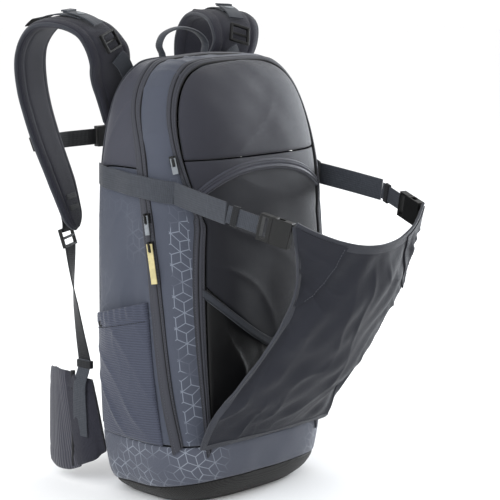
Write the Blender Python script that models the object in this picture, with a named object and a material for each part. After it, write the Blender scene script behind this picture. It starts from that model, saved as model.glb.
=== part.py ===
"""Protector backpack with an arched zipped body, a padded harness, wide hip wings and a helmet carrier.

Metres, +Z up. The bag stands on the plane z = 0, its outward face looks along -Y and the wearer's back
is on the +Y side. "left" is the -X side.
"""

import math

import bpy
import numpy as np
from mathutils import Matrix, Vector

# ---------------------------------------------------------------- driving dimensions

# The bag's sections: height, half width, y of the front face, y of the back face.
STATIONS = [
    (0.000, 0.106, -0.088, 0.044),
    (0.012, 0.121, -0.101, 0.055),
    (0.032, 0.130, -0.110, 0.062),
    (0.075, 0.134, -0.117, 0.066),
    (0.160, 0.136, -0.119, 0.068),
    (0.260, 0.136, -0.118, 0.068),
    (0.340, 0.135, -0.114, 0.067),
    (0.400, 0.130, -0.106, 0.065),
    (0.450, 0.121, -0.095, 0.060),
    (0.486, 0.109, -0.081, 0.052),
    (0.510, 0.091, -0.065, 0.041),
    (0.520, 0.068, -0.048, 0.028),
    (0.5245, 0.000, -0.008, -0.008),
]
FRONT_POWER, BACK_POWER = 3.0, 4.5  # of the sections' superellipse: 2 is an ellipse, more is squarer

# The y of each arched seam against height: the back edge, the main zip and the front zip.
SEAMS = [
    [(0.000, 0.028), (0.030, 0.045), (0.075, 0.052), (0.300, 0.055), (0.400, 0.051), (0.486, 0.039), (0.525, 0.026)],
    [(0.000, -0.092), (0.075, -0.088), (0.150, -0.078), (0.300, -0.0605), (0.410, -0.037), (0.470, -0.012), (0.525, -0.004)],
    [(0.000, -0.100), (0.075, -0.108), (0.300, -0.105), (0.350, -0.1005), (0.420, -0.080), (0.455, -0.070), (0.525, -0.053)],
]
BACK_SEAM, MAIN_ZIP, FRONT_ZIP = 0.0, 1.0, 2.0
ARCH_CENTRE = 0.270  # height that the arches' angles are measured from
HALF_ROWS = 22  # rows of points up one side of an arch
ROW_KNOTS = [11, 20, 22]  # closer rows round the top corners
ANGLE_KNOTS = [math.radians(a) for a in (45, 80, 90)]
STRAP_ROW = 11  # where a side panel meets the upper panel
LID_ROW = 13  # where the front panel meets its folding top

BASE_SEAM = 0.075  # top of the base panel
SKID_SEAM_FRONT, SKID_SEAM_BACK = 0.030, 0.008  # top of the skid panel under it

FABRIC = 0.0025  # thickness of a lined and padded wall
SEAM_GAP = 0.0010
CLEAR = 0.0004  # gap between pieces that touch

POCKET_TOP_BACK, POCKET_TOP_ZIP = 0.220, 0.246  # side pocket's mouth, at the back and at the zip
POCKET_BULGE = 0.013
POCKET_GRID = (7, 7)

PAD_HALF_WIDTH, SPINE_HALF_WIDTH = 0.094, 0.016
PAD_BOTTOM, PAD_TOP = 0.192, 0.408
PAD_PITCH, CHANNEL = 0.036, 0.006  # spacing and width of the pads' air channels

STRAP_THICK = 0.012
WEBBING, WEBBING_THICK = 0.020, 0.0016
SIDE_STRAP = 0.026  # width of the helmet strap along the bag's side
ZIP_BAND = 0.018

# ---------------------------------------------------------------- materials

COLOURS = {
    "shell_fabric": (0.085, 0.087, 0.100),
    "printed_fabric": (0.125, 0.135, 0.160),
    "stretch_fabric": (0.120, 0.125, 0.155),
    "dark_fabric": (0.030, 0.030, 0.032),
    "strap_fabric": (0.060, 0.060, 0.072),
    "mesh_foam": (0.018, 0.018, 0.020),
    "grey_webbing": (0.100, 0.108, 0.112),
    "black_webbing": (0.016, 0.017, 0.018),
    "zip_tape": (0.090, 0.088, 0.095),
    "black_plastic": (0.020, 0.021, 0.021),
    "cream_tab": (0.640, 0.570, 0.330),
    "silver_tab": (0.420, 0.450, 0.460),
    "board": (0.110, 0.110, 0.110),
}
ROUGHNESS = {"black_plastic": 0.38, "cream_tab": 0.5, "silver_tab": 0.4}


def material(name):
    """The Principled material of that name, made once."""
    found = bpy.data.materials.get(name)
    if found:
        return found
    made = bpy.data.materials.new(name)
    made.use_nodes = True
    shader = made.node_tree.nodes["Principled BSDF"]
    shader.inputs["Base Color"].default_value = (*COLOURS[name], 1.0)
    shader.inputs["Roughness"].default_value = ROUGHNESS.get(name, 0.85)
    shader.inputs["Metallic"].default_value = 0.0
    return made


# ---------------------------------------------------------------- mesh building


def clear_scene():
    for obj in list(bpy.data.objects):
        bpy.data.objects.remove(obj)


def make_object(name, points, faces, finish, smooth_angle=50, matrix=None):
    mesh = bpy.data.meshes.new(name)
    mesh.from_pydata([tuple(p) for p in points], [], faces)
    mesh.shade_smooth()
    mesh.set_sharp_from_angle(angle=math.radians(smooth_angle))
    mesh.materials.append(material(finish))
    obj = bpy.data.objects.new(name, mesh)
    bpy.context.scene.collection.objects.link(obj)
    if matrix is not None:
        obj.matrix_world = matrix
    return obj


def grid_solid(name, top, bottom, finish, smooth_angle=50):
    """The closed solid between two grids of points of the same size, top being the outer one."""
    rows, columns = len(top), len(top[0])
    points = [p for row in top for p in row] + [p for row in bottom for p in row]
    count = rows * columns

    def at(i, j, layer):
        return layer * count + i * columns + j

    faces = []
    for i in range(rows - 1):
        for j in range(columns - 1):
            faces.append((at(i, j, 0), at(i, j + 1, 0), at(i + 1, j + 1, 0), at(i + 1, j, 0)))
            faces.append((at(i, j, 1), at(i + 1, j, 1), at(i + 1, j + 1, 1), at(i, j + 1, 1)))
    rim = [(0, j) for j in range(columns)] + [(i, columns - 1) for i in range(1, rows)]
    rim += [(rows - 1, j) for j in range(columns - 2, -1, -1)] + [(i, 0) for i in range(rows - 2, 0, -1)]
    for (i, j), (k, m) in zip(rim, rim[1:] + rim[:1]):
        faces.append((at(i, j, 0), at(i, j, 1), at(k, m, 1), at(k, m, 0)))
    return make_object(name, points, facing_out(points, faces), finish, smooth_angle)


def facing_out(points, faces):
    """The faces, all turned round if they enclose a negative volume."""
    volume = 0.0
    for face in faces:
        a = Vector(points[face[0]])
        for p, q in zip(face[1:-1], face[2:]):
            volume += a.dot(Vector(points[p]).cross(Vector(points[q])))
    return faces if volume > 0 else [tuple(reversed(face)) for face in faces]


def grid_normals(grid, away_from):
    """A unit normal for each point of a grid, pointing away from a given point."""
    rows, columns = len(grid), len(grid[0])
    normals = []
    for i in range(rows):
        row = []
        for j in range(columns):
            along = grid[i][min(j + 1, columns - 1)] - grid[i][max(j - 1, 0)]
            across = grid[min(i + 1, rows - 1)][j] - grid[max(i - 1, 0)][j]
            normal = along.cross(across).normalized()
            row.append(normal if normal.dot(grid[i][j] - away_from) > 0 else -normal)
        normals.append(row)
    return normals


def inset(grid, margin):
    """The grid with its outer rows and columns drawn in by a margin."""
    grid = [list(row) for row in grid]
    for row in grid:
        row[0] += (row[1] - row[0]).normalized() * margin
        row[-1] += (row[-2] - row[-1]).normalized() * margin
    for j in range(len(grid[0])):
        grid[0][j] = grid[0][j] + (grid[1][j] - grid[0][j]).normalized() * margin
        grid[-1][j] = grid[-1][j] + (grid[-2][j] - grid[-1][j]).normalized() * margin
    return grid


def sheet(name, grid, finish, out=0.0, thickness=FABRIC, margin=SEAM_GAP / 2, away_from=None):
    """A wall whose outer side lies `out` metres proud of a grid. Its edges are mitred when it has a margin.

    out and thickness may be functions of the row and column.
    """
    away_from = away_from or Vector((0, -0.015, 0.27))
    proud = out if callable(out) else lambda i, j: out
    deep = thickness if callable(thickness) else lambda i, j: thickness
    layers = []
    for level in (0, 1):
        layer = inset(grid, margin + (0.8 * thickness if level and margin and not callable(thickness) else 0))
        normals = grid_normals(layer, away_from)
        layers.append(
            [
                [p + n * (proud(i, j) - level * deep(i, j)) for j, (p, n) in enumerate(zip(points, row_normals))]
                for i, (points, row_normals) in enumerate(zip(layer, normals))
            ]
        )
    return grid_solid(name, layers[0], layers[1], finish)


def smooth_path(points, count):
    """count points at equal spacing along the Catmull-Rom curve through the given ones."""
    given = [Vector(p) for p in points]
    ends = [2 * given[0] - given[1]] + given + [2 * given[-1] - given[-2]]
    dense = []
    for a, b, c, d in zip(ends, ends[1:], ends[2:], ends[3:]):
        for step in range(24):
            t = step / 24
            dense.append(0.5 * (2 * b + (c - a) * t + (2 * a - 5 * b + 4 * c - d) * t**2 + (3 * b - a - 3 * c + d) * t**3))
    dense.append(given[-1])
    lengths = np.cumsum([0.0] + [(q - p).length for p, q in zip(dense, dense[1:])])
    wanted = np.linspace(0, lengths[-1], count)
    columns = [np.interp(wanted, lengths, [p[axis] for p in dense]) for axis in range(3)]
    return [Vector(p) for p in zip(*columns)]


def values_along(values, count):
    """A short list of numbers or vectors, spread evenly over count places."""
    places = np.linspace(0, len(values) - 1, count)
    if isinstance(values[0], (int, float)):
        return [float(v) for v in np.interp(places, range(len(values)), values)]
    columns = [np.interp(places, range(len(values)), [v[axis] for v in values]) for axis in range(3)]
    return [Vector(p) for p in zip(*columns)]


def ribbon(name, path, across, widths, thickness, finish, round_edges=False):
    """A band swept along a path. across is the direction of its width, turned square to the path."""
    count = len(path)
    across = values_along(across, count)
    widths = values_along(widths, count)
    profile = [(-0.5, -0.5), (0.5, -0.5), (0.5, 0.5), (-0.5, 0.5)]
    if round_edges:
        profile = [(-0.5, -0.2), (-0.4, -0.5), (0, -0.56), (0.4, -0.5), (0.5, -0.2)]
        profile += [(-u, -v) for u, v in profile]
    points, faces = [], []
    for i, p in enumerate(path):
        tangent = (path[min(i + 1, count - 1)] - path[max(i - 1, 0)]).normalized()
        wide = (across[i] - tangent * across[i].dot(tangent)).normalized()
        thick = tangent.cross(wide)
        points += [p + wide * (u * widths[i]) + thick * (v * thickness) for u, v in profile]
    sides = len(profile)
    for i in range(count - 1):
        for j in range(sides):
            k = (j + 1) % sides
            faces.append((i * sides + j, i * sides + k, (i + 1) * sides + k, (i + 1) * sides + j))
    faces.append(tuple(reversed(range(sides))))
    faces.append(tuple((count - 1) * sides + j for j in range(sides)))
    return make_object(name, points, facing_out(points, faces), finish)


def cell_solid(name, xs, ys, zs, filled, finish, matrix, bevel=0.0004):
    """A moulded piece built from blocks: filled(i, j, k) says which cells between the cuts are solid."""
    index, points, faces = {}, [], []
    limits = (len(xs) - 1, len(ys) - 1, len(zs) - 1)

    def solid(i, j, k):
        return all(0 <= c < top for c, top in zip((i, j, k), limits)) and filled(i, j, k)

    def corner(i, j, k):
        if (i, j, k) not in index:
            index[i, j, k] = len(points)
            points.append((xs[i], ys[j], zs[k]))
        return index[i, j, k]

    sides = {
        (-1, 0, 0): ((0, 0, 0), (0, 0, 1), (0, 1, 1), (0, 1, 0)),
        (1, 0, 0): ((1, 0, 0), (1, 1, 0), (1, 1, 1), (1, 0, 1)),
        (0, -1, 0): ((0, 0, 0), (1, 0, 0), (1, 0, 1), (0, 0, 1)),
        (0, 1, 0): ((0, 1, 0), (0, 1, 1), (1, 1, 1), (1, 1, 0)),
        (0, 0, -1): ((0, 0, 0), (0, 1, 0), (1, 1, 0), (1, 0, 0)),
        (0, 0, 1): ((0, 0, 1), (1, 0, 1), (1, 1, 1), (0, 1, 1)),
    }
    for i in range(limits[0]):
        for j in range(limits[1]):
            for k in range(limits[2]):
                if not solid(i, j, k):
                    continue
                for (di, dj, dk), corners in sides.items():
                    if not solid(i + di, j + dj, k + dk):
                        faces.append(tuple(corner(i + a, j + b, k + c) for a, b, c in corners))
    obj = make_object(name, points, faces, finish, 30, matrix)
    if bevel:
        rounding = obj.modifiers.new("edges", "BEVEL")
        rounding.width = bevel
        rounding.segments = 1
        rounding.limit_method = "ANGLE"
    return obj


def axes_at(origin, along, outward):
    """The frame at a point whose local Y runs along a direction and whose local Z faces outward."""
    y = Vector(along).normalized()
    z = (Vector(outward) - y * y.dot(Vector(outward))).normalized()
    x = y.cross(z)
    return Matrix(
        (
            (x[0], y[0], z[0], origin[0]),
            (x[1], y[1], z[1], origin[1]),
            (x[2], y[2], z[2], origin[2]),
            (0, 0, 0, 1),
        )
    )


def mirrored(points):
    return [(-p[0], p[1], p[2]) for p in points]


# ---------------------------------------------------------------- the bag's surface

_front_steps = np.array([tuple(p) for p in smooth_path([(s[0], s[1], s[2]) for s in STATIONS], 900)]).T
_back_steps = np.array([tuple(p) for p in smooth_path([(s[0], s[3], 0) for s in STATIONS], 900)]).T
_seam_steps = [np.array([p[:2] for p in smooth_path([(z, y, 0) for z, y in seam], 300)]).T for seam in SEAMS]


def section(z):
    """Half width, centre y and half depth of the bag at a height."""
    half_width = float(np.interp(z, _front_steps[0], _front_steps[1]))
    front = float(np.interp(z, _front_steps[0], _front_steps[2]))
    back = float(np.interp(z, _back_steps[0], _back_steps[1]))
    return max(half_width, 1e-5), (front + back) / 2, max((back - front) / 2, 1e-5)


def seam_y(k, z):
    """The y of the seam numbered k, or of a line between two seams, at a height."""
    low = min(max(int(k), 0), len(SEAMS) - 2)
    first, second = (float(np.interp(z, *_seam_steps[low + step])) for step in (0, 1))
    return first + (second - first) * (k - low)


def power_at(offset):
    """The superellipse power on the front (negative offset) or the back half of a section."""
    return FRONT_POWER if offset < 0 else BACK_POWER


def inside(x, y, z):
    if not 0 <= z <= STATIONS[-1][0]:
        return False
    half_width, centre, half_depth = section(z)
    power = power_at(y - centre)
    return abs(x / half_width) ** power + abs((y - centre) / half_depth) ** power < 1


def arch_point(k, angle):
    """The point of arched seam k at an angle about the arch's centre: 0 is the right side, 90 degrees the top."""
    near, far = 0.01, 0.45
    for _ in range(30):
        r = (near + far) / 2
        z = ARCH_CENTRE + r * math.sin(angle)
        if inside(r * math.cos(angle), seam_y(k, z), z):
            near = r
        else:
            far = r
    z = ARCH_CENTRE + near * math.sin(angle)
    return Vector((near * math.cos(angle), seam_y(k, z), z))


def side_point(k, z, side):
    """The point of the bag's side on seam k at a height."""
    half_width, centre, half_depth = section(z)
    y = seam_y(k, z)
    power = power_at(y - centre)
    x = half_width * max(1 - abs((y - centre) / half_depth) ** power, 0) ** (1 / power)
    return Vector((side * x, y, z))


def face_point(x, z, facing):
    """The point of the front face (facing -1) or the back face (facing +1) at an x and a height."""
    half_width, centre, half_depth = section(z)
    power = power_at(facing)
    depth = half_depth * max(1 - abs(x / half_width) ** power, 0) ** (1 / power)
    return Vector((x, centre + facing * depth, z))


def angle_at(k, z):
    """The arch angle at which seam k stands at a height, on the right side."""
    return math.atan2(z - ARCH_CENTRE, side_point(k, z, 1).x)


def row_angle(k, row):
    """The arch angle of a row of points on seam k: row 0 is on the base seam, at the right."""
    if row > HALF_ROWS:
        return math.pi - row_angle(k, 2 * HALF_ROWS - row)
    return float(np.interp(row, [0] + ROW_KNOTS, [angle_at(k, BASE_SEAM)] + ANGLE_KNOTS))


def band(k_from, k_to, columns, first_row, last_row, side=1):
    """A grid of the bag's arched band between two seams."""
    grid = []
    for row in range(first_row, last_row + 1):
        ks = [k_from + (k_to - k_from) * j / (columns - 1) for j in range(columns)]
        line = [arch_point(k, row_angle(k, row)) for k in ks]
        grid.append([Vector((side * p.x, p.y, p.z)) for p in line])
    return grid


def seam_strip(k, width, shift=0.0, columns=3):
    """A grid of a strip along the whole of seam k, of a width in metres, moved sideways by a shift."""
    grid = []
    for row in range(2 * HALF_ROWS + 1):
        angle = row_angle(k, row)
        reach = 0.02 / max((arch_point(k - 0.01, angle) - arch_point(k + 0.01, angle)).length, 1e-4)
        offsets = [(shift + width * (j / (columns - 1) - 0.5)) * reach for j in range(columns)]
        grid.append([arch_point(k + offset, angle) for offset in offsets])
    return grid


# ---------------------------------------------------------------- the bag's panels


def base_ring(low, high, rows, name, finish, closed_bottom=False):
    """A panel that runs all round the bag between two heights given for each y, and across the bottom if closed."""
    around = 32
    outer, inner = [], []
    for i in range(rows):
        rings = ([], [])
        for j in range(around):
            t = 2 * math.pi * j / around
            c, s = math.cos(t), math.sin(t)
            level = -0.015 + 0.1 * s
            z = low(level) + (high(level) - low(level)) * i / (rows - 1)
            half_width, centre, half_depth = section(z)
            power = 2 / power_at(s)
            for ring, wall in zip(rings, (0.0, FABRIC)):
                x = (half_width - wall) * math.copysign(abs(c) ** power, c)
                y = centre + (half_depth - wall) * math.copysign(abs(s) ** power, s)
                lift = FABRIC if closed_bottom and wall and i == 0 else 0.0
                ring.append(Vector((x, y, z + lift)))
        outer.append(rings[0])
        inner.append(rings[1])
    points = [p for ring in outer + inner for p in ring]

    def at(layer, i, j):
        return (layer * rows + i) * around + j % around

    faces = []
    for i in range(rows - 1):
        for j in range(around):
            faces.append((at(0, i, j), at(0, i, j + 1), at(0, i + 1, j + 1), at(0, i + 1, j)))
            faces.append((at(1, i, j), at(1, i + 1, j), at(1, i + 1, j + 1), at(1, i, j + 1)))
    top = rows - 1
    for j in range(around):
        faces.append((at(0, top, j), at(0, top, j + 1), at(1, top, j + 1), at(1, top, j)))
        if not closed_bottom:
            faces.append((at(0, 0, j + 1), at(0, 0, j), at(1, 0, j), at(1, 0, j + 1)))
    if closed_bottom:
        faces.append(tuple(at(0, 0, j) for j in reversed(range(around))))
        faces.append(tuple(at(1, 0, j) for j in range(around)))
    return make_object(name, points, facing_out(points, faces), finish)


def skid_seam(y):
    """Height of the skid panel's top edge at a y."""
    return SKID_SEAM_BACK + (SKID_SEAM_FRONT - SKID_SEAM_BACK) * min(max((0.06 - y) / 0.17, 0), 1)


def build_base():
    half = SEAM_GAP / 2
    base_ring(lambda y: 0.0, lambda y: skid_seam(y) - half, 3, "base_skid_panel", "dark_fabric", closed_bottom=True)
    base_ring(lambda y: skid_seam(y) + half, lambda y: BASE_SEAM - half, 3, "base_panel", "printed_fabric")


def build_band_panels():
    last = 2 * HALF_ROWS
    for side, word in ((-1, "left"), (1, "right")):
        grid = band(BACK_SEAM, MAIN_ZIP, 6, 0, STRAP_ROW, side)
        sheet(f"side_panel_{word}", grid, "printed_fabric")
    sheet("upper_panel", band(BACK_SEAM, MAIN_ZIP, 5, STRAP_ROW, last - STRAP_ROW), "shell_fabric")
    sheet("front_gusset", band(MAIN_ZIP, FRONT_ZIP, 4, 0, last), "printed_fabric")


def face_grid(seam, facing, first_row, last_row, columns=9):
    """A grid of the front or back face between two rows of the arch that bounds it."""
    grid = []
    for row in range(first_row, last_row + 1):
        edge = arch_point(seam, row_angle(seam, row))
        xs = [edge.x * (2 * j / (columns - 1) - 1) for j in range(columns)]
        grid.append([face_point(x, edge.z, facing) for x in xs])
    return grid


def build_faces():
    last = HALF_ROWS - 1
    sheet("back_panel", face_grid(BACK_SEAM, 1, 0, last), "mesh_foam")
    sheet("front_lid", face_grid(FRONT_ZIP, -1, LID_ROW, last), "shell_fabric")
    sheet("front_panel", face_grid(FRONT_ZIP, -1, 0, LID_ROW), "dark_fabric")


def build_inside():
    """The board that stiffens the back."""
    rows, corner, low, high, half_width = 7, 0.035, 0.090, 0.440, 0.090
    grid = []
    for i in range(rows):
        z = low + (high - low) * i / (rows - 1)
        from_end = min(z - low, high - z)
        cut = corner - math.sqrt(max(corner**2 - max(corner - from_end, 0) ** 2, 0))
        grid.append([Vector((s * (half_width - cut), 0.048, z)) for s in (-1, -0.5, 0, 0.5, 1)])
    sheet("frame_board", grid, "board", thickness=0.004, margin=0.0, away_from=Vector((0, -1, 0.27)))


def pocket_grid(side):
    """The side pocket's grid: rows from the base seam to the mouth, columns from the back seam to the main zip."""
    rows, columns = POCKET_GRID
    grid = []
    for i in range(rows):
        row = []
        for j in range(columns):
            share = j / (columns - 1)
            top = POCKET_TOP_BACK + (POCKET_TOP_ZIP - POCKET_TOP_BACK) * share
            z = BASE_SEAM + 0.001 + (top - BASE_SEAM - 0.001) * i / (rows - 1)
            row.append(side_point(0.13 + 0.73 * share, z, side))
        grid.append(row)
    return grid


def build_side_pockets():
    rows, columns = POCKET_GRID

    def bulge(i, j):
        return 0.0022 + POCKET_BULGE * math.sin(math.pi * j / (columns - 1)) ** 0.7 * (i / (rows - 1)) ** 0.45

    for side, word in ((-1, "left"), (1, "right")):
        sheet(f"side_pocket_{word}", pocket_grid(side), "stretch_fabric", out=bulge, thickness=0.0016)


def build_zips():
    """The covered zips' bands. The main one straddles its seam, the front one lies on the gusset beside its seam."""
    beside = -ZIP_BAND / 2 - 0.0014
    for k, shift, name in ((MAIN_ZIP, 0.0, "main_zip_band"), (FRONT_ZIP, beside, "front_zip_band")):
        sheet(name, seam_strip(k, ZIP_BAND, shift), "zip_tape", out=0.0028, thickness=0.0016, margin=0.0005)


def build_stowage_mouth():
    """The binding of the stowage pocket's mouth, a shallow V across the front panel."""
    columns = 15
    grid = []
    for row in (-0.5, 0.5):
        line = []
        for j in range(columns):
            s = 2 * j / (columns - 1) - 1
            z = 0.188 + 0.062 * abs(s) ** 1.2
            line.append(face_point(s * 0.088, z + row * 0.012, -1))
        grid.append(line)
    sheet("stowage_mouth", grid, "grey_webbing", out=0.0024, thickness=0.0020, margin=0.0)


# ---------------------------------------------------------------- back pads


def pad_profile(z):
    """How far the back pads stand proud at a height."""
    return float(np.interp(z, (0.19, 0.22, 0.28, 0.328, 0.360, 0.408), (0.008, 0.011, 0.015, 0.011, 0.016, 0.008)))


def build_back_pads():
    heights = []
    z = PAD_BOTTOM
    while z < PAD_TOP - PAD_PITCH / 2:
        heights += [(z, 1), (z + PAD_PITCH - CHANNEL, 1), (z + PAD_PITCH - CHANNEL + 0.0008, 0), (z + PAD_PITCH - 0.0008, 0)]
        z += PAD_PITCH
    for side, word in ((-1, "left"), (1, "right")):
        xs = [SPINE_HALF_WIDTH, 0.030, 0.058, 0.082, PAD_HALF_WIDTH]
        edge = [0.45, 1.0, 1.0, 0.9, 0.35]
        grid = [[face_point(side * x, h, 1) for x in xs] for h, _ in heights]

        def proud(i, j, edge=edge):
            full = pad_profile(heights[i][0]) * edge[j]
            return CLEAR + (full if heights[i][1] else min(full, 0.004))

        def deep(i, j, proud=proud):
            return proud(i, j) - CLEAR

        sheet(f"back_pad_{word}", grid, "mesh_foam", out=proud, thickness=deep, margin=0.0)
    rows = [0.088, 0.100, 0.120, 0.145, 0.168, 0.184]
    rise = [0.30, 0.80, 1.0, 1.0, 0.80, 0.30]
    xs = [-0.098, -0.086, -0.055, -0.018, 0.018, 0.055, 0.086, 0.098]
    side_rise = [0.30, 0.85, 1.0, 0.70, 0.70, 1.0, 0.85, 0.30]
    grid = [[face_point(x, z, 1) for x in xs] for z in rows]

    def lumbar(i, j):
        return CLEAR + 0.020 * rise[i] * side_rise[j]

    sheet("lumbar_pad", grid, "mesh_foam", out=lumbar, thickness=lambda i, j: lumbar(i, j) - CLEAR, margin=0.0)


# ---------------------------------------------------------------- moulded hardware


def ladder_lock(name, matrix, webbing=WEBBING, length=0.024, tall=0.0045):
    """A three-bar webbing adjuster. Local Y runs along the webbing and local Z faces out."""
    half, rim, bar = webbing / 2 + 0.001, 0.003, 0.0032
    slot = (length - 3 * bar) / 2
    xs = [-half - rim, -half, half, half + rim]
    ys = [0, bar, bar + slot, 2 * bar + slot, 2 * bar + 2 * slot, length]
    zs = [0, tall * 0.45, tall]

    def filled(i, j, k):
        if i in (0, 2):
            return True
        return j in (0, 4) or (j == 2 and k == 0)

    return cell_solid(name, xs, [y - length / 2 for y in ys], zs, filled, "black_plastic", matrix, 0.0007)


def buckle_female(name, matrix, width=0.030, length=0.024, tall=0.0095):
    """A side-release socket. Local Y points from its mouth to its sewn end."""
    half, wall, roof = width / 2, 0.0022, 0.0020
    xs = [-half, -half + wall, -0.0045, -0.0018, 0.0018, 0.0045, half - wall, half]
    ys = [0, 0.005, 0.013, 0.018, length]
    zs = [-tall / 2, -tall / 2 + roof, tall / 2 - roof, tall / 2]

    def filled(i, j, k):
        if j == 3:
            return True
        if i in (0, 6):
            return k != 1 or j != 1  # the side windows that the prongs' tips fill
        return k in (0, 2)

    return cell_solid(name, xs, ys, zs, filled, "black_plastic", matrix, 0.0005)


def buckle_male(name, matrix, width=0.030, length=0.016, tall=0.0080, reach=0.0165):
    """A side-release plug. Local Y points into the socket, and its mouth plane is y = 0."""
    half, gap = width / 2, 0.0004
    prong_out, prong_in = half - 0.0022 - gap, half - 0.0022 - 0.0045
    xs = [-half, -prong_out, -prong_in, -0.0014, 0.0014, prong_in, prong_out, half]
    ys = [-length, -length + 0.0032, -0.0052, -gap, 0.010, reach]
    arm = tall / 2 - 0.0022
    zs = [-tall / 2, -arm, arm, tall / 2]

    def filled(i, j, k):
        if j < 3:
            return not (j == 1 and 1 <= i <= 5)
        if k != 1:
            return False
        return i in (1, 5) or (i == 3 and j == 3)

    return cell_solid(name, xs, ys, zs, filled, "black_plastic", matrix, 0)


def zip_slider(name, matrix):
    """A slider with a bridge. Local Y runs up the zip, Z faces out, and the tape's face is z = 0."""
    xs = [-0.0042, -0.0010, 0.0010, 0.0042]
    ys = [-0.0058, -0.0042, 0.0042, 0.0058]
    zs = [0.0, 0.0026, 0.0048, 0.0062]

    def filled(i, j, k):
        if k == 0:
            return True
        return i == 1 and (k == 2 or j != 1)

    return cell_solid(name, xs, ys, zs, filled, "black_plastic", matrix, 0)


def zip_pull(name, matrix, width, length, finish, thick=0.0012):
    """A pull whose eye is under the slider's bridge. It hangs towards local -Y, with its eye's bar on local X."""
    eye = 0.0017
    half = width / 2
    xs = [-half, -eye, eye, half] if half > eye + 0.001 else [-eye - 0.0011, -eye, eye, eye + 0.0011]
    ys = [-length, -0.0095, -thick / 2, thick / 2]
    zs = [-thick / 2, thick / 2]

    def filled(i, j, k):
        return i != 1 or j in (0, 2)

    return cell_solid(name, xs, ys, zs, filled, finish, matrix, 0)


# ---------------------------------------------------------------- zip sliders


def zip_frame(k, z, side, proud=0.0034):
    """A frame on a zip tape at a height: local Y up the zip, local Z outward."""
    p, q = side_point(k, z, side), side_point(k, z + 0.004, side)
    along = (q - p).normalized()
    around = (side_point(k + 0.05, z, side) - side_point(k - 0.05, z, side)).normalized()
    outward = along.cross(around)
    if outward.x * side < 0:
        outward = -outward
    return axes_at(p + outward * proud, along, outward)


def build_zip_hardware():
    eye = Matrix.Translation((0, 0.0026, 0.0037))
    places = [
        ("main_zip_slider_upper", "main_zip_pull_silver", MAIN_ZIP, 0.345, 0.0060, 0.022, "silver_tab"),
        ("main_zip_slider_lower", "main_zip_pull_cream", MAIN_ZIP, 0.313, 0.0080, 0.046, "cream_tab"),
        ("front_zip_slider", "front_zip_pull", FRONT_ZIP, 0.411, 0.0065, 0.018, "silver_tab"),
    ]
    for slider, pull, k, z, width, length, finish in places:
        beside = -0.17 if k == FRONT_ZIP else 0.0
        frame = zip_frame(k + beside, z, -1)
        zip_slider(slider, frame)
        zip_pull(pull, frame @ eye, width, length, finish)


# ---------------------------------------------------------------- haul loop


def build_haul_loop():
    path = [(-0.035, 0.0320, 0.5243), (-0.038, 0.034, 0.536), (-0.026, 0.037, 0.549), (0, 0.038, 0.555)]
    path += [(-p[0], p[1], p[2]) for p in reversed(path[:-1])]
    ribbon("haul_loop", smooth_path(path, 21), [(0, 1, 0)] * 2, [0.012], 0.0028, "black_webbing")


# ---------------------------------------------------------------- harness

YOKE = (0.064, 0.455)  # y and z of the line that the harness swings about

STRAP_PATH = [
    (-0.072, 0.0675, 0.448),
    (-0.088, 0.0630, 0.492),
    (-0.104, 0.0520, 0.528),
    (-0.115, 0.0630, 0.5535),
    (-0.127, 0.092, 0.5645),
    (-0.136, 0.127, 0.5595),
    (-0.141, 0.150, 0.530),
    (-0.141, 0.150, 0.485),
    (-0.137, 0.134, 0.430),
    (-0.129, 0.110, 0.368),
    (-0.120, 0.097, 0.314),
]
LIFTER_SHARE = 0.215  # where the load lifter's lock is sewn to the shoulder strap
STRAP_WIDTHS = [0.050, 0.058, 0.068, 0.072, 0.070, 0.066, 0.060, 0.052, 0.030]
STRAP_ACROSS = [(1, 0.05, 0), (1, 0.1, 0), (1, 0.25, 0.05), (1, 0.4, 0.1), (1, 0.42, 0.05), (1, 0.35, 0), (1, 0.3, 0)]


def on_strap(share, side):
    """Place, direction, outward normal and width direction at a share of the left or right strap's length."""
    path = smooth_path(STRAP_PATH, 101)
    i = min(max(round(share * 100), 1), 99)
    tangent = (path[i + 1] - path[i - 1]).normalized()
    across = values_along([Vector(v) for v in STRAP_ACROSS], 101)[i]
    across = (across - tangent * across.dot(tangent)).normalized()
    outward = across.cross(tangent)
    flip = Vector((-side, 1, 1))
    return [Vector(a * b for a, b in zip(v, flip)) for v in (path[i], tangent, outward, across)]


def strap_line(shares, side, proud):
    return [p + n * proud for p, _, n, _ in (on_strap(s, side) for s in shares)]


def strap_across(shares, side):
    return [on_strap(s, side)[3] for s in shares]


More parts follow.
